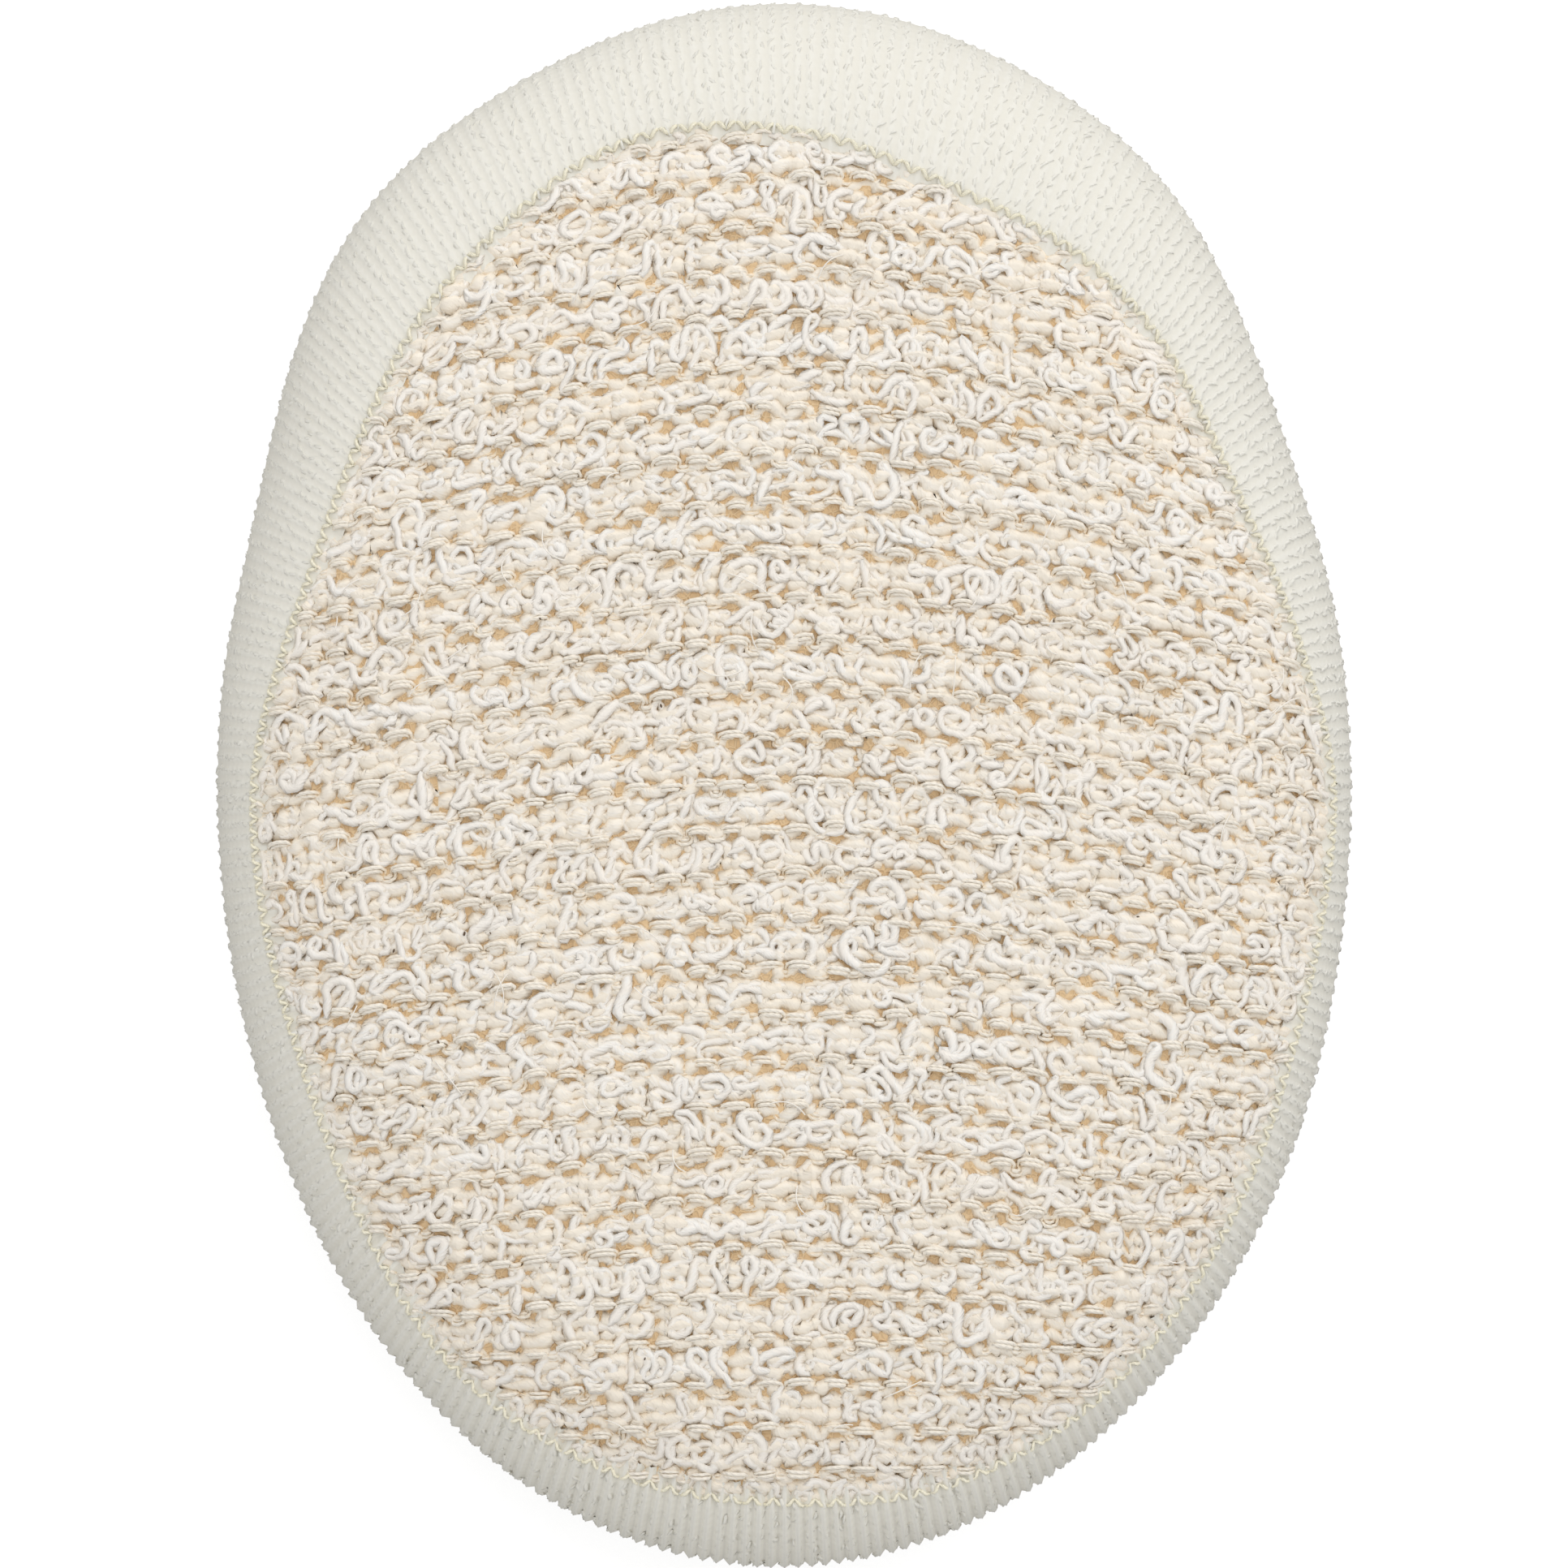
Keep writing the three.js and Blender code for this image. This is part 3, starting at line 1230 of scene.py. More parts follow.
@dataclass
class SmoothYarn(KnitFace):
    """The courses of smooth yarn, which is two strands side by side.

    Args:
        swing: How far the yarn swings up and down along its course.
        bow: How much each swing is widened into a bow.
        crest: How much wider the bows at the top of the swing are than those at the foot.
        tucked: How much deeper the yarn lies at the foot of the swing.
        strand: Radius of a strand.
        apart: Distance from the yarn's middle to a strand's, in radii of a strand.
        side_shade: How much deeper a strand's side counts than its top, which paints shade on its sides and
            underside.
        flat: Height of a strand against its width.
        wander: Changes across the course.
        sway: Changes along it.
        uneven_swing: Changes of the swing, as a share of it.
        uneven_height: Changes of height.
        wind: How far the two strands wind round each other, in radians.
        uneven_strand: Changes of a strand's radius, as a share of it.
        finish: The yarn's finish.
    """

    swing: float = 0.5
    bow: float = 0.4
    crest: float = 0.28
    tucked: float = 0.25
    lift: float = 0.2
    strand: float = 0.24
    apart: float = 0.9
    side_shade: float = 0.3
    flat: float = 0.75
    depths: tuple[float, float] = (0.55, 0.35)
    wander: Ripple = (0.4, 0.9)
    sway: Ripple = (0.55, 0.7)
    uneven_swing: Ripple = (0.7, 1.0)
    uneven_height: Ripple = (0.3, 0.8)
    wind: Ripple = (0.9, 0.8)
    uneven_strand: Ripple = (0.12, 0.6)
    finish: YarnFinish = YarnFinish(
        "smooth_cotton", light=(0.96, 0.91, 0.82), dark=(0.95, 0.88, 0.77), painted_shade=(0.94, 0.76, 0.53),
        plies=3.0, twist=0.5, relief=0.05, painted_shade_from=0.9,
    )

    def strand_path(self, stitch: Array, course: float, side: float, rng: Random) -> tuple[Array, ...]:
        """Lays a strand along one course.

        Args:
            stitch: Stitch counts along the course.
            course: Where the course lies.
            side: Which side of the yarn's middle the strand is on, -1 or 1.
            rng: Source of random numbers, the same for both strands.

        Returns:
            Places across and along the cloth, heights and radii.
        """
        t = TURN * stitch
        count = len(stitch)
        wander = self.ripple(count, self.wander, rng)
        sway = self.ripple(count, self.sway, rng)
        swing = self.swing * (1.0 + self.ripple(count, self.uneven_swing, rng))
        p = self.wale * stitch + self.bow * np.sin(2.0 * t) - self.crest * np.sin(t) + sway
        q = course - swing * np.cos(t) + wander
        height = self.lift + self.dive * np.cos(2.0 * t) - self.tucked * (1.0 + np.cos(t))
        height = height + self.ripple(count, self.uneven_height, rng)
        wound = self.ripple(count, self.wind, rng)
        slope_p, slope_q = np.gradient(p), np.gradient(q)
        size = np.hypot(slope_p, slope_q)
        apart = side * self.strand * self.apart
        p = p - apart * np.cos(wound) * slope_q / size
        q = q + apart * np.cos(wound) * slope_p / size
        height = height + apart * np.sin(wound)
        radius = self.strand * (1.0 + self.ripple(count, self.uneven_strand, rng))
        return p, q, height, radius

    def build(self) -> list[Piece]:
        """Makes and dresses the two strands.

        Returns:
            The two pieces.
        """
        material = self.finish.make()
        pieces = []
        for number, side in enumerate((-1.0, 1.0)):
            rng = np.random.default_rng(self.seed)
            runs = self.courses(lambda stitch, course: self.strand_path(stitch, course, side, rng), 0.0)
            builder = MeshBuilder(self.side_shade, self.flat)
            pieces.append(self.spin(builder, runs, f"face_smooth_strand_{number + 1}", material, rng))
        return pieces


@dataclass
class BoucleYarn(KnitFace):
    """A course of thick curly yarn between the smooth ones.

    The yarn wanders with a curvature that keeps changing sides, about the middle line of its course, and
    keeps clear of the holes of the knitting.

    Args:
        name: Name of the yarn's pieces.
        swing: How far the middle line swings up and down along the course.
        bow: How much each swing is widened into a bow.
        run: Length of yarn in one stitch.
        curl: Usual radius of the curls.
        change: Length of yarn from one curl to the next.
        sharpness: How soon a curl is at its tightest.
        curl_shares: Share of that radius where the yarn bends little, and how much more where it bends most.
        stray: The most that the yarn leaves the middle line.
        gain: How much the curls are spread out.
        mean_over: Stitches that the yarn's own middle is taken over.
        shift: How far the yarn's middle line lies towards the next smooth course.
        thickness: Radius of the yarn.
        parts: Pieces that the courses are shared out to.
        hole: Radius that is kept clear in each hole of the knitting.
        hole_tall: Height of a hole against its width.
        hole_shares: Least and greatest size of a hole, as a share of the usual one.
        covered: Holes whose size comes out under this share are covered by yarn.
        evened: How often the yarn is evened out after it is pushed out of the holes.
        offset: Where the yarn lies between one smooth course, at 0, and the next, at 1.
        side_shade: How much deeper the yarn's side counts than its top, which paints shade on its sides and
            underside.
        flat: Height of the yarn against its width.
        rough: How unevenly the yarn is spun.
        rise_over: Stitches from one change of height to the next.
        uneven_away: Changes of the distance from the middle line across the course, as a share of it.
        uneven_yarn: Changes of the radius, as a share of it.
        draw: Added to the seed for the yarn's own random numbers.
        finish: The yarn's finish.
    """

    name: str = "face_boucle_curls"
    swing: float = 0.55
    bow: float = 0.0
    run: float = 16.0
    curl: float = 0.42
    change: float = 0.85
    sharpness: float = 3.0
    curl_shares: tuple[float, float] = (0.8, 0.5)
    stray: float = 2.15
    gain: float = 2.7
    mean_over: float = 0.62
    shift: float = 0.1
    dive: float = 0.32
    thickness: float = 0.49
    lift: float = 0.02
    points: int = 36
    sides: int = 5
    parts: int = 2
    hole: float = 0.27
    hole_tall: float = 1.7
    hole_shares: tuple[float, float] = (0.3, 1.3)
    covered: float = 0.48
    evened: int = 2
    offset: float = 0.5
    side_shade: float = 0.45
    flat: float = 0.38
    rough: float = 0.2
    rise_over: float = 0.16
    uneven_away: Ripple = (0.4, 1.3)
    uneven_yarn: Ripple = (0.3, 0.1)
    draw: int = 17
    finish: YarnFinish = YarnFinish(
        "boucle_cotton", light=(0.96, 0.935, 0.89), dark=(0.96, 0.905, 0.83), painted_shade=(0.95, 0.785, 0.56),
        plies=1.0, twist=0.25, fuzz=2.0, relief=0.07, patch=5.0, painted_shade_from=1.0,
    )

    def wander(self, count: int, rng: Random) -> tuple[Array, Array]:
        """How far a curly yarn is from its middle line.

        Args:
            count: Number of points.
            rng: Source of random numbers.

        Returns:
            Distances along and across the course.
        """
        step = self.run / self.points
        bend = smooth_noise(count, self.change / step, rng)
        least, more = self.curl_shares
        turn = np.cumsum(np.tanh(self.sharpness * bend) * step / self.curl / (least + more * np.abs(bend)))
        places = np.cumsum(np.exp(1j * (turn + rng.uniform(0.0, TURN)))) * step
        window = int(self.mean_over * self.points)
        padded = np.concatenate([np.full(window, places[0]), places, np.full(window, places[-1])])
        mean = np.convolve(padded, np.ones(window) / window, "same")[window:-window]
        away = places - mean
        size = np.maximum(np.abs(away), TINY)
        away = away / size * self.stray * np.tanh(self.gain * size / self.stray)
        return away.real, away.imag

    def avoid_holes(self, p: Array, q: Array, course: float) -> tuple[Array, Array]:
        """Pushes the yarn's points out of the holes of the knitting.

        Each smooth course has a hole over every trough of its wave and one under every crest.

        Args:
            p: Places across the cloth.
            q: Places along the cloth.
            course: Where the course lies.

        Returns:
            The new places.
        """
        rows, wales, near = 100, 200, 0.01
        shares = np.random.default_rng(self.seed).uniform(*self.hole_shares, (2, rows, wales))
        for kind, (offset, side) in enumerate(((0.0, 1.0), (0.5, -1.0))):
            place = course / self.repeat
            row = math.floor(place + near) if side > 0.0 else math.ceil(place - near)
            middle_q = row * self.repeat + side * self.hole_off
            number = np.round(p / self.wale - offset)
            middle_p = (number + offset) * self.wale
            share = shares[kind, row + rows // 2, number.astype(int) + wales // 2]
            free = self.hole * share
            size = free + self.thickness
            tall = (free * self.hole_tall + self.thickness) / size
            far_p, far_q = p - middle_p, (q - middle_q) / tall
            far = np.maximum(np.hypot(far_p, far_q), TINY)
            push = np.where(share > self.covered, np.maximum(size - far, 0.0) / far, 0.0)
            p = p + far_p * push
            q = q + far_q * push * tall
        for _ in range(self.evened):
            p[1:-1] = (p[:-2] + 2.0 * p[1:-1] + p[2:]) / 4.0
            q[1:-1] = (q[:-2] + 2.0 * q[1:-1] + q[2:]) / 4.0
        return p, q

    def curly_path(self, stitch: Array, course: float, rng: Random) -> tuple[Array, ...]:
        """Lays the yarn along one course.

        Args:
            stitch: Stitch counts along the course.
            course: Where the course lies.
            rng: Source of random numbers.

        Returns:
            Places across and along the cloth, heights and radii.
        """
        count = len(stitch)
        away_p, away_q = self.wander(count, rng)
        away_q = away_q * (1.0 + self.ripple(count, self.uneven_away, rng))
        p = self.wale * stitch + self.bow * np.sin(2.0 * TURN * stitch) + away_p
        q = course + self.shift + self.swing * np.cos(TURN * stitch) + away_q
        p, q = self.avoid_holes(p, q, course)
        height = self.lift + self.ripple(count, (self.dive, self.rise_over), rng)
        radius = self.thickness * (1.0 + self.ripple(count, self.uneven_yarn, rng))
        return p, q, height, radius

    def build(self) -> list[Piece]:
        """Makes and dresses the yarn, with the courses shared out in turn to the pieces.

        Returns:
            The pieces.
        """
        rng = np.random.default_rng(self.seed + self.draw)
        runs = self.courses(
            lambda stitch, course: self.curly_path(stitch, course, rng), self.offset * self.repeat,
        )
        material = self.finish.make()
        pieces = []
        for part in range(self.parts):
            builder = MeshBuilder(self.side_shade, self.flat, self.rough)
            shared = runs[part :: self.parts]
            pieces.append(self.spin(builder, shared, f"{self.name}_{part + 1}", material, rng))
        return pieces


@dataclass
class CoreYarn(BoucleYarn):
    """One of the three fuller, less curly yarns that the curls of a boucle course stand on."""

    run: float = 4.7
    curl: float = 0.6
    change: float = 1.0
    stray: float = 0.75
    gain: float = 1.4
    shift: float = 0.0
    lift: float = -0.36
    points: int = 8
    sides: int = 4
    parts: int = 1
    flat: float = 0.7
    rough: float = 0.24
    draw: int = 16
    # The core's copy of the boucle finish is its own cream, made warmer and darker than the curls' to paint
    # shade into the crevices where it shows.
    finish: YarnFinish = replace(
        BoucleYarn.finish, name="boucle_core", light=(0.96, 0.91, 0.83), dark=(0.95, 0.87, 0.75),
    )


CORE_LINES = {
    "a": {"offset": 0.0, "swing": -0.45, "bow": 0.3, "thickness": 0.88},
    "b": {"offset": 0.34, "swing": 0.2, "bow": 0.0, "thickness": 1.0},
    "c": {"offset": 0.68, "swing": 0.2, "bow": 0.0, "thickness": 1.0},
}


@dataclass
class FaceBits:
    """What a natural cotton face carries: stray fibres that stick out of it and small flecks of seed husk.

    Args:
        surface: The face's surface.
        flecks: Number of flecks.
        fleck: Length of a fleck.
        fleck_sizes: Least and greatest size of a fleck, as a share of that length.
        fleck_points: Points along a fleck.
        fleck_sides: Sides of a fleck.
        fleck_half_width: Half its width, as a share of its length.
        fleck_sink: How far a fleck lies under the pad's outer surface.
        fleck_rough: How uneven a fleck is.
        fibres: Number of stray fibres.
        fibre: Length of a fibre.
        fibre_sizes: Least and greatest size of a fibre, as a share of that length.
        fibre_points: Points along a fibre.
        fibre_sides: Sides of a fibre.
        thin: Radius of a fibre.
        bend: The most that a fibre is bent, as a share of its length.
        rise: Height of a fibre's middle.
        droop: How far its ends go down from there, into the yarn.
        margin: Width of the edge that stays clear.
        seed: Start of the random numbers.
        fibre_finish: The fibres' finish.
        fleck_finish: The flecks' finish.
    """

    surface: SurfaceMap
    flecks: int = 16
    fleck: float = 0.45
    fleck_sizes: tuple[float, float] = (0.6, 1.2)
    fleck_points: int = 5
    fleck_sides: int = 6
    fleck_half_width: float = 0.55
    fleck_sink: float = 0.42
    fleck_rough: float = 0.2
    fibres: int = 70
    fibre: float = 3.4
    fibre_sizes: tuple[float, float] = (0.5, 1.4)
    fibre_points: int = 12
    fibre_sides: int = 4
    thin: float = 0.07
    bend: float = 1.2
    rise: float = 0.15
    droop: float = 0.6
    margin: float = 3.0
    seed: int = SEED + 4
    fibre_finish: YarnFinish = YarnFinish(
        "stray_fibre", light=(0.96, 0.92, 0.86), dark=(0.95, 0.90, 0.82), painted_shade=(0.95, 0.90, 0.82),
        relief=0.005,
    )
    fleck_finish: YarnFinish = YarnFinish(
        "seed_husk", light=(0.20, 0.13, 0.08), dark=(0.12, 0.08, 0.05), painted_shade=(0.12, 0.08, 0.05),
        relief=0.01, sheen=0.2,
    )

    def places(self, count: int, rng: Random) -> tuple[Array, ...]:
        """Random places on the face, and random directions along it.

        Args:
            count: Number of places.
            rng: Source of random numbers.

        Returns:
            Points, normals and two directions along the surface at right angles.
        """
        angle = rng.uniform(0.0, TURN, count)
        share = np.sqrt(rng.uniform(0.0, 1.0, count))
        point, normal = self.surface.at(angle, share * (self.surface.length(angle) - self.margin))
        heading = rng.uniform(0.0, TURN, count)
        rough = np.stack([np.cos(heading), np.sin(heading), 0.0 * heading], axis=1)
        ahead = unit(rough - np.sum(rough * normal, axis=1, keepdims=True) * normal)
        return point, normal, ahead, np.cross(normal, ahead)

    def build(self) -> list[Piece]:
        """Makes and dresses the flecks and the fibres.

        Returns:
            The two pieces.
        """
        rng = np.random.default_rng(self.seed)
        parts = (
            ("face_seed_flecks", self.husks(rng), self.fleck_finish),
            ("face_stray_fibres", self.strays(rng), self.fibre_finish),
        )
        pieces = []
        for name, builder, finish in parts:
            piece = builder.make(name)
            dress(piece, finish.make(), "face_panel")
            pieces.append(piece)
        return pieces

    def husks(self, rng: Random) -> MeshBuilder:
        """Lays the flecks, each of them thick in the middle, in the face.

        Args:
            rng: Source of random numbers.

        Returns:
            A builder with the flecks in it.
        """
        roundness = 0.27
        point, normal, ahead, _ = self.places(self.flecks, rng)
        share = np.linspace(-0.5, 0.5, self.fleck_points)[None]
        size = self.fleck * rng.uniform(*self.fleck_sizes, (self.flecks, 1))
        sunk = point - self.fleck_sink * normal
        paths = sunk[:, None] + (share * size)[..., None] * ahead[:, None]
        radii = self.fleck_half_width * size * np.sqrt(np.maximum(roundness - share ** 2, 0.0))
        sides = np.repeat(normal[:, None], self.fleck_points, axis=1)
        builder = MeshBuilder(rough=self.fleck_rough)
        tones = rng.uniform(0.0, 1.0, self.flecks)
        builder.add_yarns(paths, radii, sides, self.fleck_sides, tones, np.ones(radii.shape))
        return builder

    def strays(self, rng: Random) -> MeshBuilder:
        """Lays the fibres, bent along the face and arched over it.

        Args:
            rng: Source of random numbers.

        Returns:
            A builder with the fibres in it.
        """
        point, normal, ahead, across = self.places(self.fibres, rng)
        share = np.linspace(-0.5, 0.5, self.fibre_points)[None]
        length = self.fibre * rng.uniform(*self.fibre_sizes, (self.fibres, 1))
        bend = rng.uniform(-self.bend, self.bend, (self.fibres, 1)) * length
        height = np.repeat(self.rise - self.droop * (2.0 * share) ** 2, self.fibres, axis=0)
        paths = point[:, None] + height[..., None] * normal[:, None] + (
            (share * length)[..., None] * ahead[:, None] + (bend * share ** 2)[..., None] * across[:, None]
        )
        radii = np.full(height.shape, self.thin)
        sides = np.repeat(normal[:, None], self.fibre_points, axis=1)
        builder = MeshBuilder()
        tones = rng.uniform(0.0, 1.0, self.fibres)
        builder.add_yarns(paths, radii, sides, self.fibre_sides, tones, np.ones(radii.shape))
        return builder


@dataclass
class TerryCloth:
    """Terry: loops in wales on a knitted ground.

    Args:
        surface: The surface that the cloth covers.
        wale: Distance from one wale to the next.
        course: Distance from one loop to the next along a wale.
        pile: Height of the loops over the ground.
        yarn: Radius of the loop yarn.
        spread: Half the width of a loop at its foot.
        turn: How far a loop is turned out of its wale, in radians.
        lean: How far a loop's top may lean over.
        piles: Least and greatest height of a loop, as a share of the pile.
        spreads: Least and greatest width of a loop, as a share of the usual one.
        yarns: Least and greatest radius of the yarn, as a share of the usual one.
        sides: Sides of the yarn.
        rough: How unevenly the yarn is spun.
        pattern: Length of yarn that the loops' own starts are spread over.
        strayed: How far loops stand out of place, across and along their wale.
        ground_rows: Rows of the ground across the cloth.
        seed: Start of the random numbers.
        finish: The loops' finish.
    """

    surface: SurfaceMap
    wale: float = 1.45
    course: float = 0.9
    pile: float = 0.34
    yarn: float = 0.27
    spread: float = 0.4
    turn: float = 0.4
    lean: float = 0.1
    piles: tuple[float, float] = (0.7, 1.0)
    spreads: tuple[float, float] = (0.7, 1.35)
    yarns: tuple[float, float] = (0.85, 1.2)
    sides: int = 3
    rough: float = 0.15
    pattern: float = 9.0
    strayed: tuple[float, float] = (0.1, 0.12)
    ground_rows: int = 30
    seed: int = SEED
    finish: YarnFinish = YarnFinish(
        "terry_loops", light=(0.865, 0.85, 0.785), dark=(0.835, 0.815, 0.745), painted_shade=(0.815, 0.79, 0.71),
        plies=2.0, twist=0.8, relief=0.015, patch=9.0, painted_shade_from=0.5,
    )

    def loops(self, points: Array, normals: Array, along: Array, rng: Random) -> MeshBuilder:
        """Stands one loop on each of these places.

        Args:
            points: Places on the pad's outer surface, which the loops reach.
            normals: Outward normals there.
            along: Directions along the wales.
            rng: Source of random numbers.

        Returns:
            A builder with the loops in it.
        """
        count = len(points)
        turn = rng.normal(0.0, self.turn, count)[:, None]
        sideways = unit(np.cross(normals, along))
        width = unit(along * np.cos(turn) + sideways * np.sin(turn))
        lean = rng.normal(0.0, self.lean, (count, 2))
        pile = self.pile * rng.uniform(*self.piles, count)
        wide = self.spread * rng.uniform(*self.spreads, count)
        # A loop's points: places along its width and heights, in shares of the spread and the pile.
        shape = np.array(((-1.25, 0.1), (-0.5, 0.95), (0.5, 0.95), (1.25, 0.1)))
        foot = points - (self.pile + self.yarn) * normals
        bent = lean[:, :1] * along + lean[:, 1:] * sideways
        share = shape[None, :, 1, None]
        paths = (
            foot[:, None]
            + (shape[None, :, 0] * wide[:, None])[..., None] * width[:, None]
            + (shape[None, :, 1] * pile[:, None])[..., None] * normals[:, None]
            + share ** 2 * bent[:, None]
        )
        across = np.repeat(np.cross(normals, width)[:, None], len(shape), axis=1)
        radii = np.full(paths.shape[:2], self.yarn) * rng.uniform(*self.yarns, (count, 1))
        # Painted shade: a loop's depth follows its height, so its foot takes the painted shade colour.
        depth = np.repeat(shape[None, :, 1], count, axis=0)
        tone = rng.uniform(0.0, 1.0, count)
        phase = rng.uniform(0.0, self.pattern, count)
        builder = MeshBuilder(rough=self.rough)
        builder.add_yarns(paths, radii, across, self.sides, tone, depth, phase)
        return builder


@dataclass
class TerryBorder(TerryCloth):
    """The band of terry round the side, with its wales running across the band.

    Args:
        stagger: How far loops stand to either side of their wale, by turns.
        rib: Half the height of the ground's ribs at the narrow end of the pad.
        pulled: Share of that height left at the wide end, where the band is pulled flat.
        fall: How soon the ribs get lower away from the narrow end.
        columns: Columns of the ground in a wale.
        outer_radius: Mean radius of the band.
        rim_share: Where the band is widest round, as a share of its width.
        cover: How far the ground lies under the pad's outer surface, as a share of the pile.
        edge: How far past each seam the ground runs on.
        dip: How much deeper the ground lies past a seam.
        upper_share: Share of the band's width in the upper piece.
    """

    seed: int = SEED + 2
    stagger: float = 0.1
    rib: float = 0.32
    pulled: float = 0.05
    fall: int = 4
    columns: int = 4
    strayed: tuple[float, float] = (0.13, 0.12)
    outer_radius: float = 68.0
    rim_share: float = 0.4
    cover: float = 0.8
    edge: float = 1.8
    dip: float = 0.9
    upper_share: float = 0.5

    def build(self) -> list[Piece]:
        """Makes and dresses the ground and the loops.

        Returns:
            The pieces.
        """
        rng = np.random.default_rng(self.seed)
        turned = np.linspace(0.0, TURN, 721)
        rim = self.surface.at(turned, self.surface.length(turned) * self.rim_share)[0]
        run = np.concatenate([[0.0], np.cumsum(np.linalg.norm(np.diff(rim, axis=0), axis=1))])
        wales = int(round(run[-1] / self.wale))
        courses = int(round(float(self.surface.lengths.mean()) / self.course))
        columns = np.interp(np.linspace(0.0, run[-1], self.columns * wales, endpoint=False), run, turned)
        share = (np.arange(courses) + 0.5) / courses
        angle = np.repeat(columns[:: self.columns, None], courses, axis=1)
        side = self.stagger * (2.0 * (np.arange(courses) % 2) - 1.0)[None]
        off_across, off_along = self.strayed
        angle = angle + (side + rng.normal(0.0, off_across, angle.shape)) / self.outer_radius
        strayed = rng.normal(0.0, off_along / courses, angle.shape)
        offset = 0.5 * (np.arange(wales) % 2)[:, None] / courses
        place = np.mod(share[None] + strayed + offset, 1.0)
        distance = place * self.surface.length(angle)
        point, normal = self.surface.at(angle, distance)
        step = 0.5
        ahead = self.surface.at(angle, distance + step)[0]
        along = unit(ahead - point)
        pieces = [self.ground(columns, courses)]
        upper = place < self.upper_share
        material = self.finish.make()
        for name, chosen in (("border_loops_upper", upper), ("border_loops_lower", ~upper)):
            loops = self.loops(point[chosen], normal[chosen], along[chosen], rng).make(name)
            dress(loops, material, "terry_border")
            pieces.append(loops)
        return pieces

    def ground(self, columns: Array, courses: int) -> Piece:
        """Makes and dresses the knitted ground, ribbed along its wales.

        Args:
            columns: Angles of the ground's columns.
            courses: Courses across the band.

        Returns:
            The piece.
        """
        angle = np.repeat(columns[:, None], self.ground_rows, axis=1)
        share = np.linspace(0.0, 1.0, self.ground_rows)[None]
        distance = share * (self.surface.length(angle) + 2.0 * self.edge) - self.edge
        point, normal = self.surface.at(angle, distance)
        past = np.maximum(-distance, distance - self.surface.length(angle))
        pulled = self.pulled + (1.0 - self.pulled) * (0.5 - 0.5 * np.sin(columns)) ** self.fall
        rib = self.rib * (pulled * np.cos(np.arange(len(columns)) * TURN / self.columns))[:, None]
        sink = self.cover * self.pile - rib + self.dip * np.clip(past, 0.0, 1.0)
        ground = MeshBuilder.grid(point - sink[..., None] * normal).make("border_ground")
        finish = TerryGroundFinish(
            light=(0.845, 0.825, 0.755), dark=(0.825, 0.80, 0.72),
            wales=len(columns) // self.columns, courses=courses,
        )
        dress(ground, finish.make(), "terry_border")
        return ground


@dataclass
class TerryBack(TerryCloth):
    """The panel of terry that closes the back, with its wales running along the pad.

    Its surface is measured from the middle of the back.

    Args:
        half_cloth: Half the width and half the length of the cloth before it is cut to shape.
        clear: How far inside the seam the loops stop.
        edge: How far past the seam the ground runs on.
        below: How far the ground lies below the foot of the loops.
        angles: Columns of the ground.
        ground_finish: The ground's finish.
    """

    wale: float = 2.3
    course: float = 1.8
    pile: float = 0.7
    yarn: float = 0.36
    spread: float = 0.5
    seed: int = SEED + 3
    half_cloth: tuple[float, float] = (75.0, 90.0)
    clear: float = 0.3
    edge: float = 0.4
    below: float = 0.1
    angles: int = 180
    finish: YarnFinish = replace(TerryCloth.finish, name="terry_back_loops", relief=0.03)
    # The ground's depth is 0 all over, so it shows its painted_shade colour everywhere, the same as its dark
    # colour.
    ground_finish: YarnFinish = YarnFinish(
        "terry_back_ground", light=(0.82, 0.79, 0.71), dark=(0.78, 0.74, 0.64), painted_shade=(0.78, 0.74, 0.64),
        plies=0.0, twist=0.0, relief=0.0, patch=5.0,
    )

    def build(self) -> list[Piece]:
        """Makes and dresses the ground and the loops.

        Returns:
            The pieces.
        """
        rng = np.random.default_rng(self.seed)
        half_width, half_length = self.half_cloth
        across = np.arange(-half_width, half_width, self.wale)
        along = np.arange(-half_length, half_length, self.course)
        p, q = np.meshgrid(across, along, indexing="ij")
        q = q + 0.5 * self.course * (np.arange(len(across)) % 2)[:, None]
        p = p + rng.normal(0.0, self.strayed[0], p.shape)
        q = q + rng.normal(0.0, self.strayed[1], q.shape)
        angle, distance = np.arctan2(q, p), np.hypot(p, q)
        inside = distance < self.surface.length(angle) - self.clear
        point, normal = self.surface.at(angle[inside], distance[inside])
        wales = np.broadcast_to(np.array((0.0, 1.0, 0.0)), point.shape)
        along_cloth = unit(wales - np.sum(wales * normal, axis=1, keepdims=True) * normal)
        loops = self.loops(point, normal, along_cloth, rng).make("back_loops")
        dress(loops, self.finish.make(), "back_panel")
        return [self.ground(), loops]

    def ground(self) -> Piece:
        """Makes and dresses the knitted ground.

        Returns:
            The piece.
        """
        angle = np.repeat((np.arange(self.angles) * TURN / self.angles)[:, None], self.ground_rows, axis=1)
        distance = np.linspace(0.0, 1.0, self.ground_rows)[None] * (self.surface.length(angle) + self.edge)
        point, normal = self.surface.at(angle, distance)
        point = (point - (self.pile + self.below) * normal)[:, ::-1]
        ground = MeshBuilder.grid(point).make("back_ground")
        dress(ground, self.ground_finish.make(), "back_panel")
        return ground


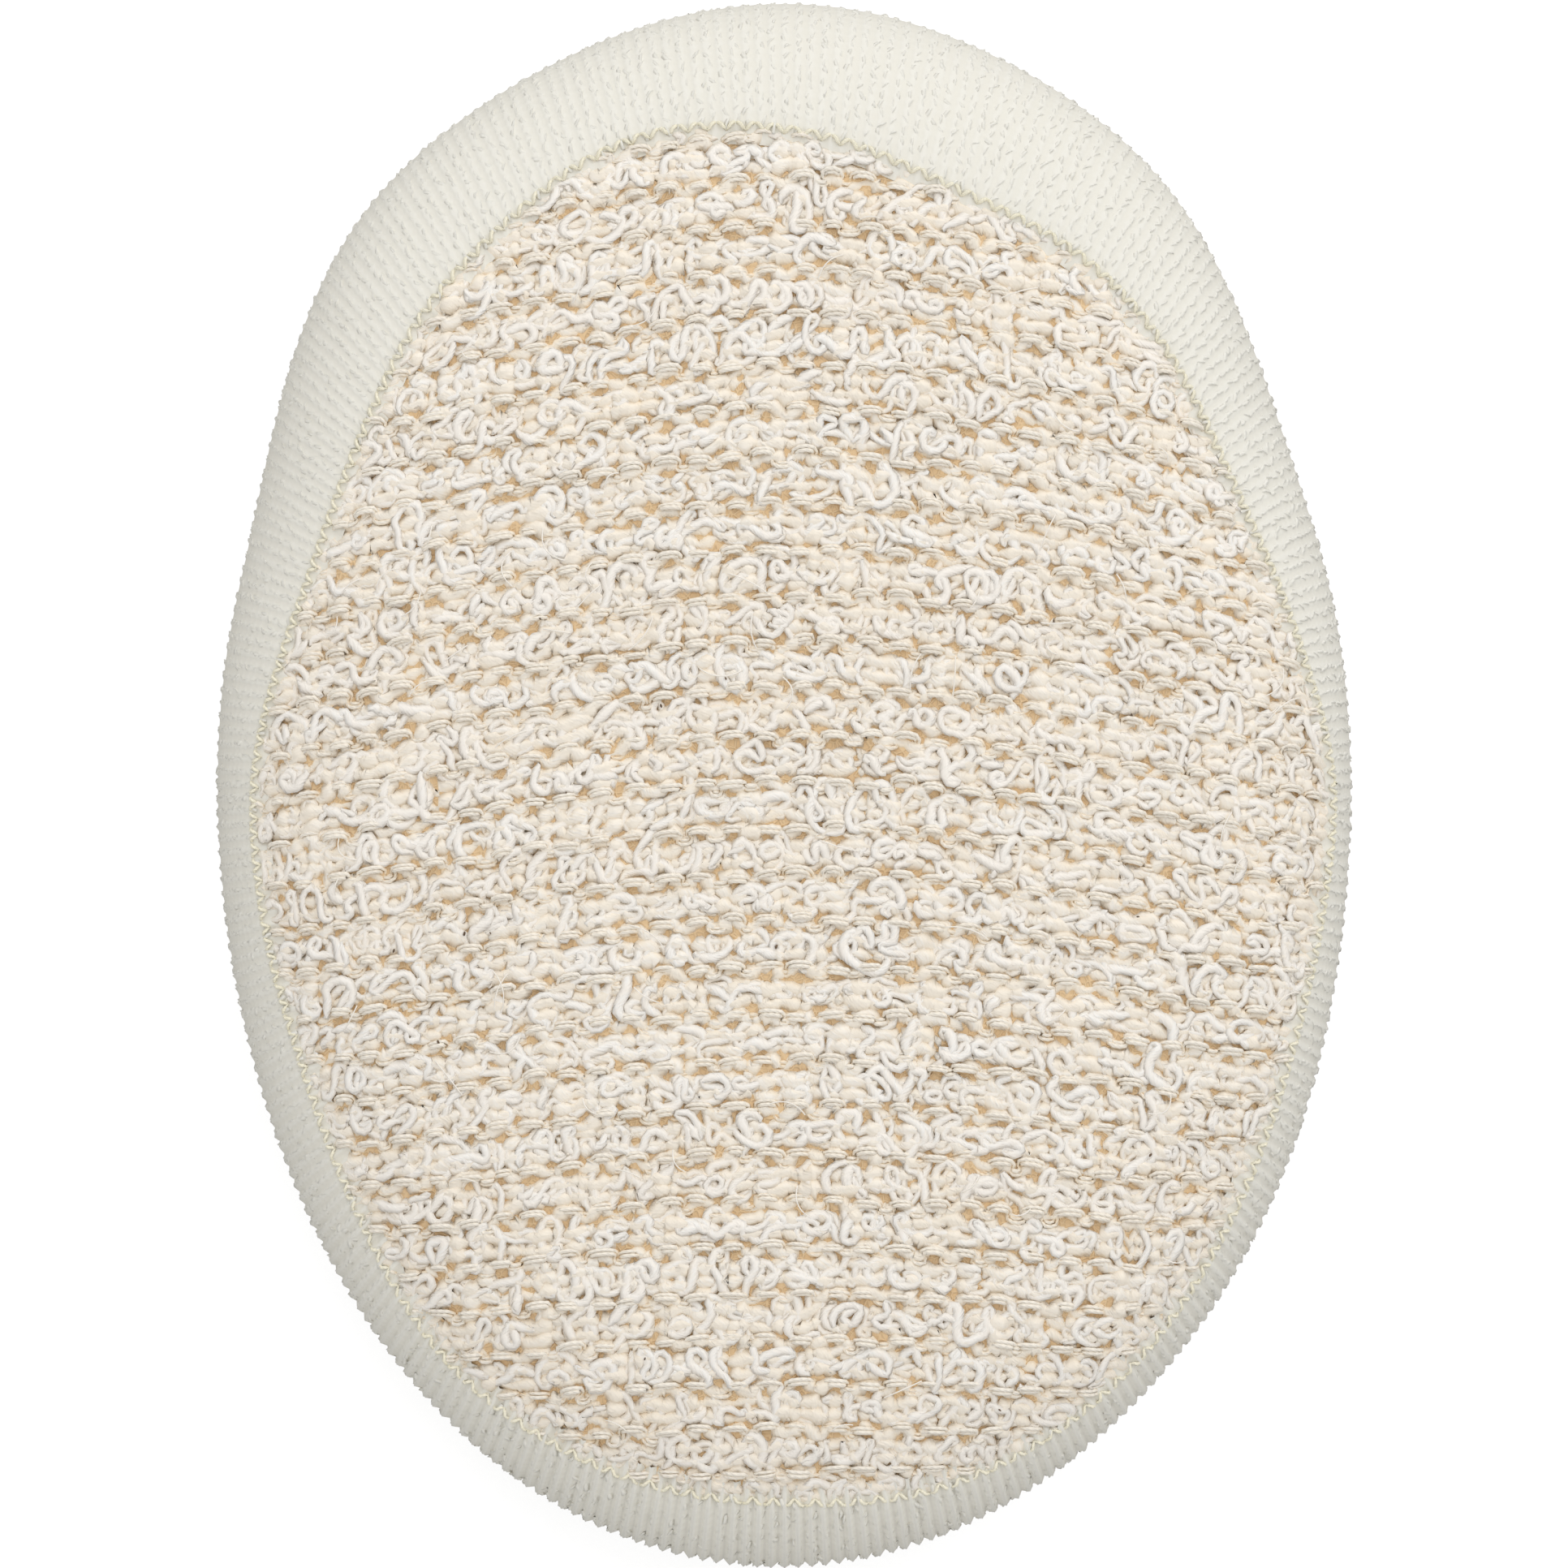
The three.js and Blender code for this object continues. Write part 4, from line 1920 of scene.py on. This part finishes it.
@dataclass
class SeamStitches:
    """The threads of the two seams: a row of zigzag stitches in the groove of each.

    Args:
        surface: The border's surface, between the two seams.
        stitches: Stitches in a seam.
        points: Points of the thread in a stitch.
        sides: Sides of the thread.
        sway: How far the thread swings to either side.
        inset: How far the middle of the thread lies inside the border.
        depth: How far the thread lies under the pad's outer surface.
        dive: How far it goes under and over.
        thread: Radius of the thread.
        tone: The thread's tone.
        shown: How little of the painted shade colour the thread has.
        finish: The thread's finish.
    """

    surface: SurfaceMap
    stitches: int = 215
    points: int = 8
    sides: int = 4
    sway: float = 0.4
    inset: float = 0.1
    depth: float = 0.3
    dive: float = 0.3
    thread: float = 0.2
    tone: float = 0.5
    shown: float = 0.7
    finish: YarnFinish = YarnFinish(
        "seam_thread", light=(0.95, 0.91, 0.77), dark=(0.93, 0.88, 0.70), painted_shade=(0.92, 0.84, 0.62),
        plies=3.0, twist=0.9, relief=0.03,
    )

    def build(self) -> list[Piece]:
        """Makes and dresses both seams' threads.

        Returns:
            The two pieces.
        """
        material = self.finish.make()
        count = self.stitches * self.points
        angle = np.arange(count + 1) * TURN / count
        t = angle * self.stitches
        pieces = []
        for node, middle in (
            ("front_seam", np.full(len(angle), self.inset)),
            ("back_seam", self.surface.length(angle) - self.inset),
        ):
            point, normal = self.surface.at(angle, middle + self.sway * np.sin(t))
            path = point + (self.dive * np.cos(2.0 * t) - self.depth)[:, None] * normal
            builder = MeshBuilder()
            radius = np.full(len(path), self.thread)
            shown = np.full(len(path), self.shown)
            builder.add_yarn(path, radius, normal, self.sides, np.array([self.tone]), shown)
            thread = builder.make(f"{node}_stitches")
            dress(thread, material, node)
            pieces.append(thread)
        return pieces


# ---- Studio ----


@dataclass
class Studio:
    """Floor, light and camera.

    Args:
        frame_height: Height of the camera's view at the pad's widest line, in millimetres.
        lens: Focal length, long so that the view is nearly parallel.
        sensor: Width of the sensor.
        key_place: Where the light at the pad's far end hangs, in metres.
        key_size: Its side, in metres.
        key_power: Its power.
        fill_place: Where the light overhead hangs, in metres.
        fill_size: Its side, in metres.
        fill_power: Its power.
        sky: Strength of the light from all round.
        half_floor: Half the side of the floor, in metres.
    """

    frame_height: float = 165.1
    lens: float = 400.0
    sensor: float = 36.0
    key_place: tuple[float, float, float] = (0.45, 1.15, 1.15)
    key_size: float = 2.6
    key_power: float = 17.2
    fill_place: tuple[float, float, float] = (-0.2, -0.2, 1.6)
    fill_size: float = 1.2
    fill_power: float = 0.5
    sky: float = 0.72
    half_floor: float = 3.0

    def build(self, rim_height: float) -> None:
        """Makes the floor, the lights and the camera.

        Args:
            rim_height: Height of the pad's widest line, in millimetres.
        """
        self.floor()
        self.light("key", self.key_place, self.key_size, self.key_power)
        self.light("overhead", self.fill_place, self.fill_size, self.fill_power)
        world = bpy.data.worlds.new("studio")
        world.use_nodes = True
        background = world.node_tree.nodes["Background"].inputs
        background["Color"].default_value = (1.0, 1.0, 1.0, 1.0)
        background["Strength"].default_value = self.sky
        bpy.context.scene.world = world
        self.camera(rim_height)
        bpy.context.scene.view_settings.view_transform = "Standard"

    def floor(self) -> None:
        """A wide plain floor."""
        mesh = bpy.data.meshes.new("floor")
        size = self.half_floor
        corners = [(-size, -size, 0.0), (size, -size, 0.0), (size, size, 0.0), (-size, size, 0.0)]
        mesh.from_pydata(corners, [], [(0, 1, 2, 3)])
        mesh.materials.append(FloorFinish().make())
        floor = bpy.data.objects.new("floor", mesh)
        bpy.context.scene.collection.objects.link(floor)

    def light(self, name: str, place: tuple[float, float, float], size: float, power: float) -> None:
        """A square soft light aimed at the pad.

        Args:
            name: Its name.
            place: Where it hangs, in metres.
            size: Its side, in metres.
            power: Its power, in watts.
        """
        data = bpy.data.lights.new(name, "AREA")
        data.size = size
        data.energy = power
        lamp = bpy.data.objects.new(name, data)
        lamp.location = place
        lamp.rotation_euler = (-Vector(place)).to_track_quat("-Z", "Y").to_euler()
        bpy.context.scene.collection.objects.link(lamp)

    def camera(self, rim_height: float) -> None:
        """A camera straight above the pad, with the wide border at the top of its view.

        Args:
            rim_height: Height of the pad's widest line, in millimetres.
        """
        data = bpy.data.cameras.new("camera")
        data.lens = self.lens
        data.sensor_width = self.sensor
        data.clip_end = 100.0
        camera = bpy.data.objects.new("camera", data)
        away = self.frame_height / 2.0 / (self.sensor / 2.0 / self.lens)
        camera.location = (0.0, 0.0, (rim_height + away) * MM)
        bpy.context.scene.collection.objects.link(camera)
        bpy.context.scene.camera = camera


def main() -> None:
    """Builds the pad and the studio."""
    logging.basicConfig(level=logging.INFO, format="%(message)s")
    pad = StuffedPad()
    Studio().build(pad.rim_height)
    points, seams = pad.swollen()
    face, border, under = pad.maps(points, seams)
    pieces = FoamCore().build(pad, points)
    parts = [SmoothYarn(face), BoucleYarn(face), FaceBits(face)]
    parts += [CoreYarn(face, name=f"face_core_yarn_{letter}", **line) for letter, line in CORE_LINES.items()]
    parts += [TerryBorder(border), TerryBack(under), SeamStitches(border)]
    for part in parts:
        pieces += part.build()
    for piece in pieces:
        LOG.info("%s: %d faces", piece.name, len(piece.data.polygons))


if __name__ == "__main__":
    main()
